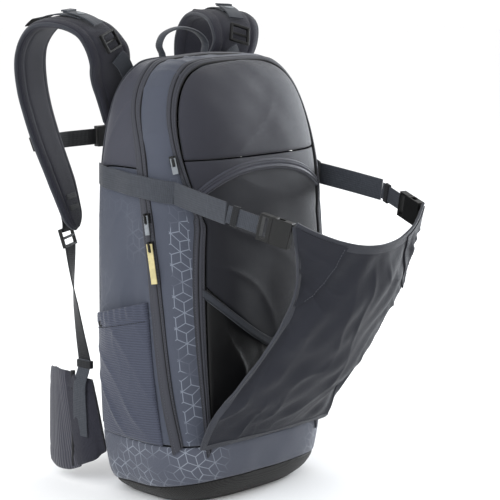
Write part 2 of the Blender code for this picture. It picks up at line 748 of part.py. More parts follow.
def build_shoulder_strap(side, word):
    flip = (lambda p: p) if side < 0 else (lambda p: mirrored([p])[0])
    path = smooth_path([flip(p) for p in STRAP_PATH], 23)
    across = [Vector(flip(v)) for v in STRAP_ACROSS]
    ribbon(f"shoulder_pad_{word}", path, across, STRAP_WIDTHS, STRAP_THICK, "strap_fabric", round_edges=True)

    face = STRAP_THICK * 0.56 + 0.0012 + WEBBING_THICK / 2
    shares = list(np.linspace(0.30, 0.90, 16))
    ribbon(
        f"strap_rail_{word}",
        strap_line(shares, side, face),
        strap_across(shares, side),
        [WEBBING],
        WEBBING_THICK,
        "grey_webbing",
    )

    place, tangent, outward, _ = on_strap(LIFTER_SHARE, side)
    lift = STRAP_THICK * 0.56 + 0.0030
    ladder_lock(f"load_lifter_lock_{word}", axes_at(place + outward * lift, tangent, outward))
    start = face_point(side * 0.078, 0.500, 1) + Vector((0, 0.0020, 0.0020))
    end = place + outward * (lift + 0.0018) - tangent * 0.0172
    middle = (start + end) / 2 + Vector((0, 0.000, 0.003))
    ribbon(
        f"load_lifter_webbing_{word}",
        smooth_path([start, middle, end], 7),
        [(1, 0, 0)] * 2,
        [WEBBING],
        WEBBING_THICK,
        "grey_webbing",
    )

    tip, tangent, outward, _ = on_strap(0.99, side)
    lock_place = tip + tangent * 0.0120 + outward * 0.0130
    ladder_lock(f"strap_adjuster_{word}", axes_at(lock_place, tangent, outward))
    low = Vector((side * 0.1310, 0.0700, 0.150))
    high = lock_place + tangent * 0.0145 + outward * 0.0022
    route = [high, high.lerp(low, 0.35) + Vector((0, 0.004, 0)), high.lerp(low, 0.7) + Vector((0, 0.003, 0)), low]
    ribbon(
        f"lower_webbing_{word}",
        smooth_path(route, 12),
        [(1, -0.2 * side, 0), (0.4, -0.9 * side, 0), (-0.1, -side, 0)],
        [WEBBING],
        WEBBING_THICK,
        "black_webbing",
    )


STERNUM_SHARE = 0.75  # where the sternum strap rides on the shoulder straps
STERNUM_SOCKET = -0.004  # x of the socket's mouth


def build_sternum_strap():
    """The chest strap between the two rails: a clip on each rail, webbing, and a side-release buckle."""
    ends = {}
    for side, word in ((-1, "left"), (1, "right")):
        place, tangent, outward, _ = on_strap(STERNUM_SHARE, side)
        clip = place + outward * (STRAP_THICK * 0.56 + 0.0012 + WEBBING_THICK + 0.0008)
        half, wall = WEBBING / 2 + 0.0020, 0.0022
        under = WEBBING_THICK + 0.0002
        xs = [-half - wall, -half, half, half + wall]
        ys = [-0.009, 0.009]
        zs = [-under, 0, 0.0042]
        cell_solid(
            f"sternum_clip_{word}",
            xs,
            ys,
            zs,
            lambda i, j, k: k == 1 or i in (0, 2),
            "black_plastic",
            axes_at(clip, tangent, outward),
            0.0005,
        )
        ends[side] = (clip + outward * 0.0076, tangent)
    up = Vector((0, 0, 1))
    y, z = ends[1][0].y, ends[1][0].z
    for side, word, inner in ((-1, "left", STERNUM_SOCKET - 0.0255), (1, "right", STERNUM_SOCKET + 0.0175)):
        outer, along = ends[side]
        along = -along
        path = [outer - Vector((side * 0.004, 0, 0)), (side * 0.088, y + 0.0165, z), (side * 0.060, y + 0.0190, z)]
        path.append((inner, y + 0.0190, z))
        across = [along, up, up, up]
        ribbon(f"sternum_webbing_{word}", smooth_path(path, 10), across, [WEBBING], WEBBING_THICK, "black_webbing")
    mouth = (STERNUM_SOCKET, y + 0.0190, z)
    buckle_female("sternum_buckle_socket", axes_at(mouth, (-1, 0, 0), (0, 1, 0)), width=0.026)
    buckle_male("sternum_buckle_plug", axes_at(mouth, (-1, 0, 0), (0, 1, 0)), width=0.026)


# ---------------------------------------------------------------- hip wings


def build_hip_wings():
    """Each wing is a padded root and a wide elastic end."""
    for side, word in ((-1, "left"), (1, "right")):
        root = [(0.1238, 0.0538, 0.088), (0.1300, 0.0625, 0.086), (0.1345, 0.074, 0.083), (0.1358, 0.086, 0.081)]
        end = [(0.1366, 0.0895, 0.080), (0.1375, 0.106, 0.077), (0.1355, 0.122, 0.076), (0.1300, 0.138, 0.077)]
        for name, line, widths, thickness, finish in (
            (f"hip_wing_root_{word}", root, [0.092, 0.108, 0.120], 0.009, "strap_fabric"),
            (f"hip_wing_band_{word}", end, [0.120, 0.130, 0.134, 0.130], 0.006, "stretch_fabric"),
        ):
            path = smooth_path([(side * x, y, z) for x, y, z in line], 7)
            ribbon(name, path, [(0, 0, 1)] * 2, widths, thickness, finish, round_edges=True)


# ---------------------------------------------------------------- helmet carrier

CARRIER_HINGE = (-0.1200, 0.0790)  # y and z of the seam that the flap turns about
KEEPER = Vector((0.1310, -0.1760, 0.3640))
BUCKLE_MOUTH = Vector((0.1150, -0.2320, 0.3500))
BUCKLE_AXIS = (BUCKLE_MOUTH - KEEPER).normalized()


def build_side_straps():
    """The strap that is sewn to the bag's back edge, its free end, and the webbing that feeds the buckle."""
    for side, word in ((-1, "left"), (1, "right")):
        ks = [0.04, 0.25, 0.50, 0.75, 0.9, 1.0, 1.1, 1.3, 1.55, 1.75]
        line = []
        for k in ks:
            z = 0.387 - 0.0062 * k
            p = side_point(k, z, side)
            over_zip = 0.0066 if k > 0.6 else 0.0032
            line.append(p + Vector((side * over_zip * 0.96, -over_zip * 0.28 * (k > 1.1), 0)))
        ribbon(f"side_strap_{word}", smooth_path(line, 15), [(0, 0, 1)] * 2, [SIDE_STRAP], 0.0018, "grey_webbing")

        free = [line[-1] + (line[-1] - line[-2]).normalized() * 0.0020]
        keeper = Vector((side * KEEPER.x, KEEPER.y, KEEPER.z))
        free += [free[0].lerp(keeper, 0.5) + Vector((side * 0.001, 0, 0)), keeper]
        ribbon(f"side_strap_free_{word}", smooth_path(free, 6), [(0, 0, 1)] * 2, [SIDE_STRAP], 0.0018, "grey_webbing")

        mouth = Vector((side * BUCKLE_MOUTH.x, BUCKLE_MOUTH.y, BUCKLE_MOUTH.z))
        axis = Vector((side * BUCKLE_AXIS.x, BUCKLE_AXIS.y, BUCKLE_AXIS.z))
        wide = (Vector((0, 0, 1)) - axis * axis.z).normalized()
        outward = axis.cross(wide) * (side if axis.cross(wide).x > 0 else -side)
        feed = keeper + axis * 0.0022
        end = mouth - axis * 0.0185
        ribbon(f"carrier_webbing_{word}", smooth_path([feed, end], 4), [wide, wide], [WEBBING], 0.0018, "grey_webbing")
        buckle_male(f"carrier_buckle_plug_{word}", axes_at(mouth, axis, outward))
        buckle_female(f"carrier_buckle_socket_{word}", axes_at(mouth, axis, outward))

        loop = WEBBING + 0.0044, 0.0046
        slot = WEBBING + 0.0010, 0.0026
        place = feed + axis * 0.0100
        xs = [-loop[0] / 2, -slot[0] / 2, slot[0] / 2, loop[0] / 2]
        zs = [-loop[1] / 2, -slot[1] / 2, slot[1] / 2, loop[1] / 2]
        cell_solid(
            f"strap_keeper_{word}",
            xs,
            [-0.0040, 0.0040],
            zs,
            lambda i, j, k: not (i == 1 and k == 1),
            "black_webbing",
            axes_at(place, axis, outward),
            0.0004,
        )


FLAP_ROWS = [  # half width, then y and z at the flap's centre, then y and z at its edges
    (0.1060, -0.1230, 0.0800, -0.1110, 0.0770),
    (0.1050, -0.1480, 0.1000, -0.1300, 0.1130),
    (0.1010, -0.1880, 0.1330, -0.1650, 0.1560),
    (0.0950, -0.2280, 0.1750, -0.2020, 0.2030),
    (0.0900, -0.2600, 0.2240, -0.2330, 0.2500),
    (0.0900, -0.2800, 0.2650, -0.2470, 0.2860),
    (0.0985, -0.2880, 0.3000, -0.2560, 0.3220),
    (0.1078, -0.2900, 0.3220, -0.2600, 0.3560),
]


def build_carrier_flap():
    columns = 11
    grid = []
    for half, y_mid, z_mid, y_edge, z_edge in FLAP_ROWS:
        row = []
        for j in range(columns):
            s = 2 * j / (columns - 1) - 1
            share = s * s
            row.append(Vector((s * half, y_mid + (y_edge - y_mid) * share, z_mid + (z_edge - z_mid) * share)))
        grid.append(row)
    sheet("carrier_flap", grid, "dark_fabric", thickness=0.0022, margin=0.0, away_from=Vector((0, -0.10, 0.30)))


# ---------------------------------------------------------------- the whole bag


def build():
    clear_scene()
    build_base()
    build_band_panels()
    build_faces()
    build_inside()
    build_side_pockets()
    build_zips()
    build_stowage_mouth()
    build_back_pads()
    build_zip_hardware()
    build_haul_loop()
    for side, word in ((-1, "left"), (1, "right")):
        build_shoulder_strap(side, word)
    build_sternum_strap()
    build_hip_wings()
    build_side_straps()
    build_carrier_flap()


build()
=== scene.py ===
"""Looks of the protector backpack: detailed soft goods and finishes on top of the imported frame."""
import math

import bpy
import numpy as np
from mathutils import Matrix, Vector


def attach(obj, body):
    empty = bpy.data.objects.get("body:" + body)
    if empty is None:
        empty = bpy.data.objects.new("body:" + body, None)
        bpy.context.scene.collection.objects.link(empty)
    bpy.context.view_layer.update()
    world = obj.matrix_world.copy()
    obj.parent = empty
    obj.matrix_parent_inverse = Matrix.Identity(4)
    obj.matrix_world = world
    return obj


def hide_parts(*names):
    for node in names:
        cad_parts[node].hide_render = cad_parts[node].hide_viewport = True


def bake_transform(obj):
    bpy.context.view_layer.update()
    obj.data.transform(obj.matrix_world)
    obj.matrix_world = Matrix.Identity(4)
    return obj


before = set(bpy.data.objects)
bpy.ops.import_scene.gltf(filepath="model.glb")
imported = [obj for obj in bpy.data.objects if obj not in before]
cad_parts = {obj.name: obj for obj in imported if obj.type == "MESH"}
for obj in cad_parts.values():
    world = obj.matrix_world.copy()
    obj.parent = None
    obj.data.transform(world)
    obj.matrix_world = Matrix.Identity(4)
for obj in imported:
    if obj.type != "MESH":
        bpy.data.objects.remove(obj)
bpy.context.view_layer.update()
SIDES = ((-1, "left"), (1, "right"))

# ---------------------------------------------------------------- the bag's surface, in metres

STATIONS = [  # height, half width, y of the front face, y of the back face
    (0.000, 0.106, -0.088, 0.044), (0.012, 0.121, -0.101, 0.055), (0.032, 0.130, -0.110, 0.062),
    (0.075, 0.134, -0.117, 0.066), (0.160, 0.136, -0.119, 0.068), (0.260, 0.136, -0.118, 0.068),
    (0.340, 0.135, -0.114, 0.067), (0.400, 0.130, -0.106, 0.065), (0.450, 0.121, -0.095, 0.060),
    (0.486, 0.109, -0.081, 0.052), (0.510, 0.091, -0.065, 0.041), (0.520, 0.068, -0.048, 0.028),
    (0.5245, 0.000, -0.008, -0.008),
]
SEAMS = [  # height and y of the back edge, the main zip and the front zip
    [(0.000, 0.028), (0.030, 0.045), (0.075, 0.052), (0.300, 0.055), (0.400, 0.051), (0.486, 0.039),
     (0.525, 0.026)],
    [(0.000, -0.092), (0.075, -0.088), (0.150, -0.078), (0.300, -0.0605), (0.410, -0.037), (0.470, -0.012),
     (0.525, -0.004)],
    [(0.000, -0.100), (0.075, -0.108), (0.300, -0.105), (0.350, -0.1005), (0.420, -0.080), (0.455, -0.070),
     (0.525, -0.053)],
]
BACK_SEAM, MAIN_ZIP, FRONT_ZIP = 0.0, 1.0, 2.0
ARCH_CENTRE, BASE_SEAM = 0.270, 0.075
STRAP_ROW, LAST_ROW = 11, 44
LID_ROW = 13
ZIP_BAND = 0.018
THIN, SIDE_THIN = 0.0016, 0.0018  # webbing
THINNEST = 0.0006  # the least thickness of a fabric panel
STRAP_THICK, WEBBING, SIDE_STRAP = 0.012, 0.020, 0.026
UPRIGHT = [(0, 0, 1)] * 2  # width directions of a band that stands on edge
MIDDLE = np.array([0.0, -0.015, 0.27])  # a point inside the bag, which walls face away from


def pick(at, knots, values):
    """Rows of values read off at places between the knots."""
    return np.column_stack([np.interp(at, knots, column) for column in values.T])


def smooth(points, count):
    """count points evenly along the Catmull-Rom curve through the given ones."""
    g = np.array(points, float)
    e = np.vstack([2 * g[0] - g[1], g, 2 * g[-1] - g[-2]])
    a, b, c, d = (e[i:len(e) - 3 + i, None] for i in range(4))
    t = np.linspace(0, 1, 24, endpoint=False)[None, :, None]
    curve = 0.5 * (2 * b + (c - a) * t + (2 * a - 5 * b + 4 * c - d) * t**2 + (3 * b - a - 3 * c + d) * t**3)
    dense = np.vstack([curve.reshape(-1, g.shape[1]), g[-1:]])
    length = np.r_[0, np.cumsum(np.linalg.norm(np.diff(dense, axis=0), axis=1))]
    return pick(np.linspace(0, length[-1], count), length, dense)


FRONT_STEPS = smooth([s[:3] for s in STATIONS], 900).T
BACK_STEPS = smooth([(s[0], s[3]) for s in STATIONS], 900).T
SEAM_STEPS = [smooth(seam, 300).T for seam in SEAMS]


def section(z):
    """Half width, y of the centre and half depth of the bag at heights."""
    half_width = np.maximum(np.interp(z, FRONT_STEPS[0], FRONT_STEPS[1]), 1e-5)
    front = np.interp(z, FRONT_STEPS[0], FRONT_STEPS[2])
    back = np.interp(z, BACK_STEPS[0], BACK_STEPS[1])
    return half_width, (front + back) / 2, np.maximum((back - front) / 2, 1e-5)


def seam_y(k, z):
    """y of seam k, which may lie between two seams, at heights."""
    low = np.clip(np.floor(k), 0, 1)
    ys = [np.interp(z, *steps) for steps in SEAM_STEPS]
    first = np.where(low < 1, ys[0], ys[1])
    second = np.where(low < 1, ys[1], ys[2])
    return first + (second - first) * (k - low)


def power_at(offset):
    """How square the section is: rounder in front than behind."""
    return np.where(offset < 0, 3.0, 4.5)


def arch(k, angle):
    """Points of the arched seam k at angles about the arch's centre."""
    k, angle = np.broadcast_arrays(np.asarray(k, float), np.asarray(angle, float))
    near, far = np.full(k.shape, 0.01), np.full(k.shape, 0.45)
    for _ in range(26):
        r = (near + far) / 2
        z = ARCH_CENTRE + r * np.sin(angle)
        half_width, centre, half_depth = section(z)
        off = seam_y(k, z) - centre
        p = power_at(off)
        level = np.abs(r * np.cos(angle) / half_width) ** p + np.abs(off / half_depth) ** p
        held = (level < 1) & (z >= 0) & (z <= STATIONS[-1][0])
        near, far = np.where(held, r, near), np.where(held, far, r)
    z = ARCH_CENTRE + near * np.sin(angle)
    return np.stack([near * np.cos(angle), seam_y(k, z), z], -1)


def side(k, z, s):
    """Points of the bag's side s on seam k at heights."""
    k, z = np.broadcast_arrays(np.asarray(k, float), np.asarray(z, float))
    half_width, centre, half_depth = section(z)
    y = seam_y(k, z)
    p = power_at(y - centre)
    x = half_width * np.maximum(1 - np.abs((y - centre) / half_depth) ** p, 0) ** (1 / p)
    return np.stack([s * x, y, z], -1)


def face(x, z, facing):
    """Points of the front (-1) or the back (+1) face."""
    x, z = np.broadcast_arrays(np.asarray(x, float), np.asarray(z, float))
    half_width, centre, half_depth = section(z)
    p = power_at(np.full(x.shape, facing))
    depth = half_depth * np.maximum(1 - np.abs(x / half_width) ** p, 0) ** (1 / p)
    return np.stack([x, centre + facing * depth, z], -1)


def row_angle(k, row):
    """The arch angle of a row: 0 is on the base seam at the right, 22 the top, 44 on the base seam at the left."""
    k, row = np.broadcast_arrays(np.asarray(k, float), np.asarray(row, float))
    r = np.minimum(row, LAST_ROW - row)
    low = side(k, np.full(k.shape, BASE_SEAM), 1)
    start = np.arctan2(BASE_SEAM - ARCH_CENTRE, low[..., 0])
    knots = np.radians([45, 80, 90])
    angle = np.where(r < 11, start + (knots[0] - start) * r / 11, np.interp(r, [11, 20, 22], knots))
    return np.where(row > LAST_ROW / 2, math.pi - angle, angle)


# ---------------------------------------------------------------- shape helpers


def unit(v):
    return v / np.maximum(np.linalg.norm(v, axis=-1, keepdims=True), 1e-9)


def normals(grid, middle=MIDDLE):
    n = unit(np.cross(np.gradient(grid, axis=1), np.gradient(grid, axis=0)))
    return np.where(np.sum(n * (grid - middle), -1, keepdims=True) < 0, -n, n)


def arc(grid, axis):
    """Distance along a grid's lines."""
    step = np.linalg.norm(np.diff(grid, axis=axis), axis=-1)
    return np.concatenate([np.zeros_like(np.take(step, [0], axis)), np.cumsum(step, axis)], axis)


def ripples(p, wavelength, seed, count=7):
    """Soft random hills of about unit height."""
    rng = np.random.default_rng(seed)
    total = np.zeros(p.shape[:-1])
    for _ in range(count):
        d = rng.normal(size=3)
        d *= 2 * math.pi / (np.linalg.norm(d) * wavelength * rng.uniform(0.7, 1.5))
        total += np.sin(p @ d + rng.uniform(0, 6.28))
    return total / math.sqrt(count)


def creases(p, direction, wavelength, seed, wander=1.2, sharp=3.0):
    """Narrow ridges square to a direction, from 0 to 1."""
    d = np.array(direction, float) / np.linalg.norm(direction)
    phase = p @ d * math.pi / wavelength + wander * ripples(p, wavelength * 2.6, seed)
    return (1 - np.abs(np.sin(phase))) ** sharp * np.clip(0.6 + 0.7 * ripples(p, wavelength * 3, seed + 9), 0, 1.5)


def bump_at(x, centre, half):
    """A smooth hill of unit height about a centre."""
    return np.clip(1 - ((x - centre) / half) ** 2, 0, 1) ** 2


def spread(a, b, count):
    """Evenly spaced places with two close ones added at each end."""
    t = np.linspace(0, 1, count)
    first = t[1]
    t = np.r_[0, first * 0.12, first * 0.40, t[1:-1], 1 - first * 0.40, 1 - first * 0.12, 1]
    return a + (b - a) * t


def make(name, points, faces, uvs, finish, body, nodes=(), sharp=55):
    """A mesh object of four-cornered faces."""
    mesh = bpy.data.meshes.new(name)
    points, faces = np.asarray(points), np.asarray(faces)
    mesh.from_pydata(points.tolist(), [], faces.tolist())
    p0, p1, p2, p3 = (points[faces[:, i]] for i in range(4))
    volume = np.sum(p0 * np.cross(p1, p2)) + np.sum(p0 * np.cross(p2, p3))
    if volume < 0:
        mesh.flip_normals()
    layer = mesh.uv_layers.new(name="UVMap")
    index = np.empty(len(mesh.loops), int)
    mesh.loops.foreach_get("vertex_index", index)
    layer.data.foreach_set("uv", np.asarray(uvs, float)[index].ravel())
    mesh.shade_smooth()
    mesh.set_sharp_from_angle(angle=math.radians(sharp))
    mesh.materials.append(FINISH[finish])
    obj = bpy.data.objects.new(name, mesh)
    bpy.context.scene.collection.objects.link(obj)
    if body:
        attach(obj, body)
    if nodes:
        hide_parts(*nodes)
    return obj


def shell(name, top, bottom, finish, body, nodes=(), uv=None, sharp=55):
    """The closed solid between two grids of points."""
    rows, cols = top.shape[:2]
    count = rows * cols
    if uv is None:
        uv = np.stack([arc(top, 1), arc(top, 0)], -1)
    i, j = np.meshgrid(np.arange(rows - 1), np.arange(cols - 1), indexing="ij")
    a = (i * cols + j).ravel()
    quads = np.stack([a, a + 1, a + cols + 1, a + cols], -1)
    under = quads[:, ::-1] + count
    rim = [(0, j) for j in range(cols)] + [(i, cols - 1) for i in range(1, rows)]
    rim += [(rows - 1, j) for j in range(cols - 2, -1, -1)] + [(i, 0) for i in range(rows - 2, 0, -1)]
    rim = np.array([i * cols + j for i, j in rim])
    nxt = np.roll(rim, -1)
    walls = np.stack([rim, rim + count, nxt + count, nxt], -1)
    points = np.vstack([top.reshape(-1, 3), bottom.reshape(-1, 3)])
    uvs = np.vstack([uv.reshape(-1, 2)] * 2)
    return make(name, points, np.vstack([quads, under, walls]), uvs, finish, body, nodes, sharp)


def wall(name, grid, finish, body, nodes=(), out=0.0, thick=0.0022, roll=0.0015, reach=0.0045, uv=None):
    """A panel of fabric on a grid, raised by out, whose edges roll down into its seams."""
    n = normals(grid)
    u, v = arc(grid, 1), arc(grid, 0)
    from_edge = np.minimum(np.minimum(u, u[:, -1:] - u), np.minimum(v, v[-1:] - v))
    level = np.clip(from_edge / reach, 0, 1)
    edge = roll * (np.sqrt(1 - (1 - level) ** 2) - 1)
    top = grid + n * (out + edge)[..., None]
    deep = np.minimum(out + edge - THINNEST, -thick + out if np.ndim(out) == 0 else -thick)
    bottom = grid + n * deep[..., None]
    return shell(name, top, bottom, finish, body, nodes, uv)


FLAT = [(-0.5, -0.15), (-0.485, -0.42), (-0.45, -0.5), (-0.22, -0.5), (0, -0.5), (0.22, -0.5), (0.45, -0.5),
        (0.485, -0.42), (0.5, -0.15)]
FLAT = FLAT + [(-u, -v) for u, v in FLAT]
ROUND = [(0.5 * math.cos(a), 0.5 * math.sin(a)) for a in np.linspace(0, 2 * math.pi, 10, endpoint=False)]


def along(values, count):
    """A short list of numbers or vectors spread evenly over count places."""
    g = np.array(values, float)
    if g.ndim == 1:
        g = g[:, None]
    out = pick(np.linspace(0, len(g) - 1, count), range(len(g)), g)
    return out[:, 0] if out.shape[1] == 1 else out


def frames(path, across):
    """Directions along, across and square to a path."""
    t = unit(np.gradient(path, axis=0))
    across = along(across, len(path))
    w = unit(across - t * np.sum(across * t, -1, keepdims=True))
    return t, w, np.cross(t, w)


def sweep(name, path, across, widths, thick, finish, body, nodes=(), profile=FLAT, sharp=40,
          shape=None):
    """A closed band swept along a path; shape(points along, u, v) may bend the profile."""
    path = np.asarray(path, float)
    count = len(path)
    _, w, h = frames(path, across)
    widths, thick = along(np.atleast_1d(widths), count), along(np.atleast_1d(thick), count)
    prof = np.array(profile, float)
    u = prof[None, :, 0] * widths[:, None]
    v = prof[None, :, 1] * thick[:, None]
    if shape:
        u, v = shape(np.linspace(0, 1, count)[:, None], u, v)
    ring = path[:, None] + w[:, None] * u[..., None] + h[:, None] * v[..., None]
    n = prof.shape[0]
    points = np.vstack([ring.reshape(-1, 3), path[:1], path[-1:]])
    i, j = np.meshgrid(np.arange(count - 1), np.arange(n), indexing="ij")
    k = (j + 1) % n
    body_faces = np.stack([i * n + j, i * n + k, (i + 1) * n + k, (i + 1) * n + j], -1).reshape(-1, 4)
    j = np.arange(0, n, 2)
    k, m = (j + 1) % n, (j + 2) % n
    first, last = count * n, count * n + 1
    base = (count - 1) * n
    caps = [np.stack([k, j, np.full(len(j), first), m], -1),
            np.stack([base + j, base + k, base + m, np.full(len(j), last)], -1)]
    length = np.r_[0, np.cumsum(np.linalg.norm(np.diff(path, axis=0), axis=1))]
    uvs = np.stack(np.broadcast_arrays(u, length[:, None]), -1).reshape(-1, 2)
    uvs = np.vstack([uvs, [(0, 0), (0, length[-1])]])
    return make(name, points, np.vstack([body_faces] + caps), uvs, finish, body, nodes, sharp)


def tube(name, path, radius, finish, body):
    path = np.asarray(path, float)
    t = unit(np.gradient(path, axis=0))
    rough = np.where(np.abs(t[:, 2:]) < 0.8, [(0.0, 0.0, 1.0)], [(0.0, 1.0, 0.0)])
    steady = np.mean(rough, axis=0)
    return sweep(name, path, [steady, steady], 2 * radius, 2 * radius, finish, body, profile=ROUND, sharp=80)


def stitches(name, paths, finish, body, pitch=0.0034, length=0.0023, width=0.0007, high=0.0004):
    """Rows of thread dashes lying along paths, each path given with its surface normals."""
    box = np.array([(x, y, z) for x in (-1, 1) for y in (-1, 1) for z in (-1, 1)], float) * 0.5
    quads = np.array([(0, 1, 3, 2), (4, 6, 7, 5), (0, 4, 5, 1), (2, 3, 7, 6), (0, 2, 6, 4), (1, 5, 7, 3)])
    points, faces = [], []
    for path, n in paths:
        path, n = np.asarray(path, float), np.asarray(n, float)
        run = np.r_[0, np.cumsum(np.linalg.norm(np.diff(path, axis=0), axis=1))]
        at = np.arange(pitch / 2, run[-1] - pitch / 2, pitch)
        centre = pick(at, run, path)
        t = unit(pick(at + 1e-3, run, path) - pick(at - 1e-3, run, path))
        up = unit(pick(at, run, n))
        b = unit(np.cross(t, up))
        for c, tt, bb, uu in zip(centre, t, b, up):
            taper = np.where(box[:, 2] > 0, 0.75, 1.0)
            faces.append(quads + 8 * len(points))
            points.append(c + np.outer(box[:, 0] * length * taper, tt) + np.outer(box[:, 1] * width * taper, bb)
                          + np.outer(box[:, 2] * high * 2, uu))
    points, faces = np.vstack(points), np.vstack(faces)
    return make(name, points, faces, points[:, :2], finish, body, sharp=30)


# ---------------------------------------------------------------- finishes


class Val:
    """A shader value that can be written as arithmetic."""

    def __init__(self, net, socket):
        self.net, self.socket = net, socket

    def __add__(self, o): return self.net.math("ADD", self, o)
    def __sub__(self, o): return self.net.math("SUBTRACT", self, o)
    def __rsub__(self, o): return self.net.math("SUBTRACT", o, self)
    def __mul__(self, o): return self.net.math("MULTIPLY", self, o)
    def __truediv__(self, o): return self.net.math("DIVIDE", self, o)
    def __abs__(self): return self.net.math("ABSOLUTE", self)
    __radd__, __rmul__ = __add__, __mul__

    def sin(self): return self.net.math("SINE", self)
    def wrap(self, top): return self.net.math("WRAP", self, top, 0.0)
    def low(self, o): return self.net.math("MINIMUM", self, o)
    def high(self, o): return self.net.math("MAXIMUM", self, o)
    def under(self, o): return self.net.math("LESS_THAN", self, o)

    def line(self, half, soft=0.00025):
        """1 where the value is within half of 0, fading over soft."""
        return self.net.math("MULTIPLY", (half + soft - abs(self)) / soft, 1.0, clamp=True)

    def step(self, start, end):
        """0 before start and 1 after end."""
        return self.net.math("MULTIPLY", (self - start) / (end - start), 1.0, clamp=True)


class Net:
    """A material's node tree."""

    def __init__(self, name, colour, rough, sheen=0.0, coat=0.0, specular=0.22):
        self.material = bpy.data.materials.new(name)
        self.material.use_nodes = True
        self.tree = self.material.node_tree
        self.shader = self.tree.nodes["Principled BSDF"]
        self.colour, self.rough = colour, rough
        self.set("Sheen Weight", sheen)
        self.set("Sheen Roughness", 0.45)
        self.set("Coat Weight", coat)
        self.set("Coat Roughness", 0.35)
        self.set("Specular IOR Level", specular)
        self.set("Metallic", 0.0)
        coords = self.node("ShaderNodeTexCoord")
        self.place = coords.outputs["Object"]
        split = self.node("ShaderNodeSeparateXYZ")
        self.tree.links.new(self.place, split.inputs[0])
        self.x, self.y, self.z = (Val(self, o) for o in split.outputs)
        uv = self.node("ShaderNodeUVMap")
        uv.uv_map = "UVMap"
        split = self.node("ShaderNodeSeparateXYZ")
        self.tree.links.new(uv.outputs[0], split.inputs[0])
        self.u, self.v = Val(self, split.outputs[0]), Val(self, split.outputs[1])

    def node(self, kind):
        return self.tree.nodes.new(kind)

    def set(self, socket, value):
        self.shader.inputs[socket].default_value = value

    def join(self, value, socket):
        if isinstance(value, Val):
            self.tree.links.new(value.socket, socket)
        elif hasattr(value, "links"):
            self.tree.links.new(value, socket)
        else:
            socket.default_value = value

    def math(self, op, *args, clamp=False):
        n = self.node("ShaderNodeMath")
        n.operation, n.use_clamp = op, clamp
        for i, a in enumerate(args):
            self.join(a, n.inputs[i])
        return Val(self, n.outputs[0])

    def noise(self, scale, detail=2.0, rough=0.5):
        n = self.node("ShaderNodeTexNoise")
        n.inputs["Scale"].default_value = scale
        n.inputs["Detail"].default_value = detail
        n.inputs["Roughness"].default_value = rough
        self.tree.links.new(self.place, n.inputs["Vector"])
        return Val(self, n.outputs["Fac"])

    def mix(self, fac, a, b):
        n = self.node("ShaderNodeMix")
        n.data_type = "RGBA"
        self.join(fac, n.inputs[0])
        for value, socket in ((a, n.inputs[6]), (b, n.inputs[7])):
            self.join((*value, 1.0) if isinstance(value, tuple) else value, socket)
        return n.outputs[2]

    def done(self, colour, height, distance=0.0006, strength=0.6, rough_by=0.10):
        self.join(colour, self.shader.inputs["Base Color"])
        self.join(self.noise(60.0, 3.0) * rough_by + (self.rough - rough_by / 2), self.shader.inputs["Roughness"])
        n = self.node("ShaderNodeBump")
        n.inputs["Distance"].default_value = distance
        n.inputs["Strength"].default_value = strength
        self.join(height, n.inputs["Height"])
        self.tree.links.new(n.outputs[0], self.shader.inputs["Normal"])
        return self.material


def shade(colour, by):
    return tuple(c * by for c in colour)


def weave(net, pitch, across=None):
    """The height of a plain weave."""
    turn = 2 * math.pi
    return (net.u * (turn / (across or pitch))).sin() * (net.v * (turn / pitch)).sin()


def worn(net, spread_by=0.14, fine=900.0):
    """The base colour with soft patches and fine yarn variation."""
    patches = net.mix(net.noise(14.0, 4.0), shade(net.colour, 1 - spread_by), shade(net.colour, 1 + spread_by))
    yarn = net.noise(fine, 1.0).step(0.35, 0.65)
    return net.mix(yarn * 0.35, patches, shade(net.colour, 1.28))


def cube_print(net, size=0.0125, half=0.00042):
    """Fine lines of a field of drawn cubes: hexagons with three spokes."""
    wide = size * math.sqrt(3)
    ax = (net.u + wide / 2).wrap(wide) - wide / 2
    ay = (net.v + 1.5 * size).wrap(3 * size) - 1.5 * size
    bx = net.u.wrap(wide) - wide / 2
    by = net.v.wrap(3 * size) - 1.5 * size
    first = (ax * ax + ay * ay).under(bx * bx + by * by)
    qx = abs(ax * first + bx * (1.0 - first))
    qy = ay * first + by * (1.0 - first)
    edge = wide / 2 - qx.high(qx * 0.5 + abs(qy) * 0.8660)
    down = qx.high(qy * 10.0)
    slant = (qx * 0.5 - qy * 0.8660)
    slant = abs(slant).high((qx * 0.8660 + qy * 0.5) * -10.0)
    return edge.low(down).low(slant).line(half, 0.0002)


def shell_fabric(name, colour, rough, sheen, coat=0.0, print_where=None, line=None):
    """Smooth tightly woven shell fabric, with cube lines printed where print_where says."""
    net = Net(name, colour, rough, sheen, coat)
    base = worn(net)
    height = weave(net, 0.0011) * 0.25 + net.noise(35.0, 3.0) * 0.8
    if print_where:
        base = net.mix(cube_print(net) * print_where(net), base, line)
    return net.done(base, height)


def webbing(name, colour, pitch=0.0022):
    """Ribbed webbing: fine ridges across the band and rows along it."""
    net = Net(name, colour, 0.66, 0.15)
    ribs = (net.v * (2 * math.pi / pitch)).sin() * 0.5 + 0.5
    rows = (net.u * (2 * math.pi / 0.0026)).sin() * 0.5 + 0.5
    base = net.mix(ribs * 0.5 + rows * 0.25, shade(colour, 0.72), shade(colour, 1.22))
    base = net.mix(net.noise(220.0, 2.0).step(0.45, 0.75) * 0.35, base, shade(colour, 1.45))
    return net.done(base, ribs * 0.6 + rows * 0.4, 0.0004, 0.8)


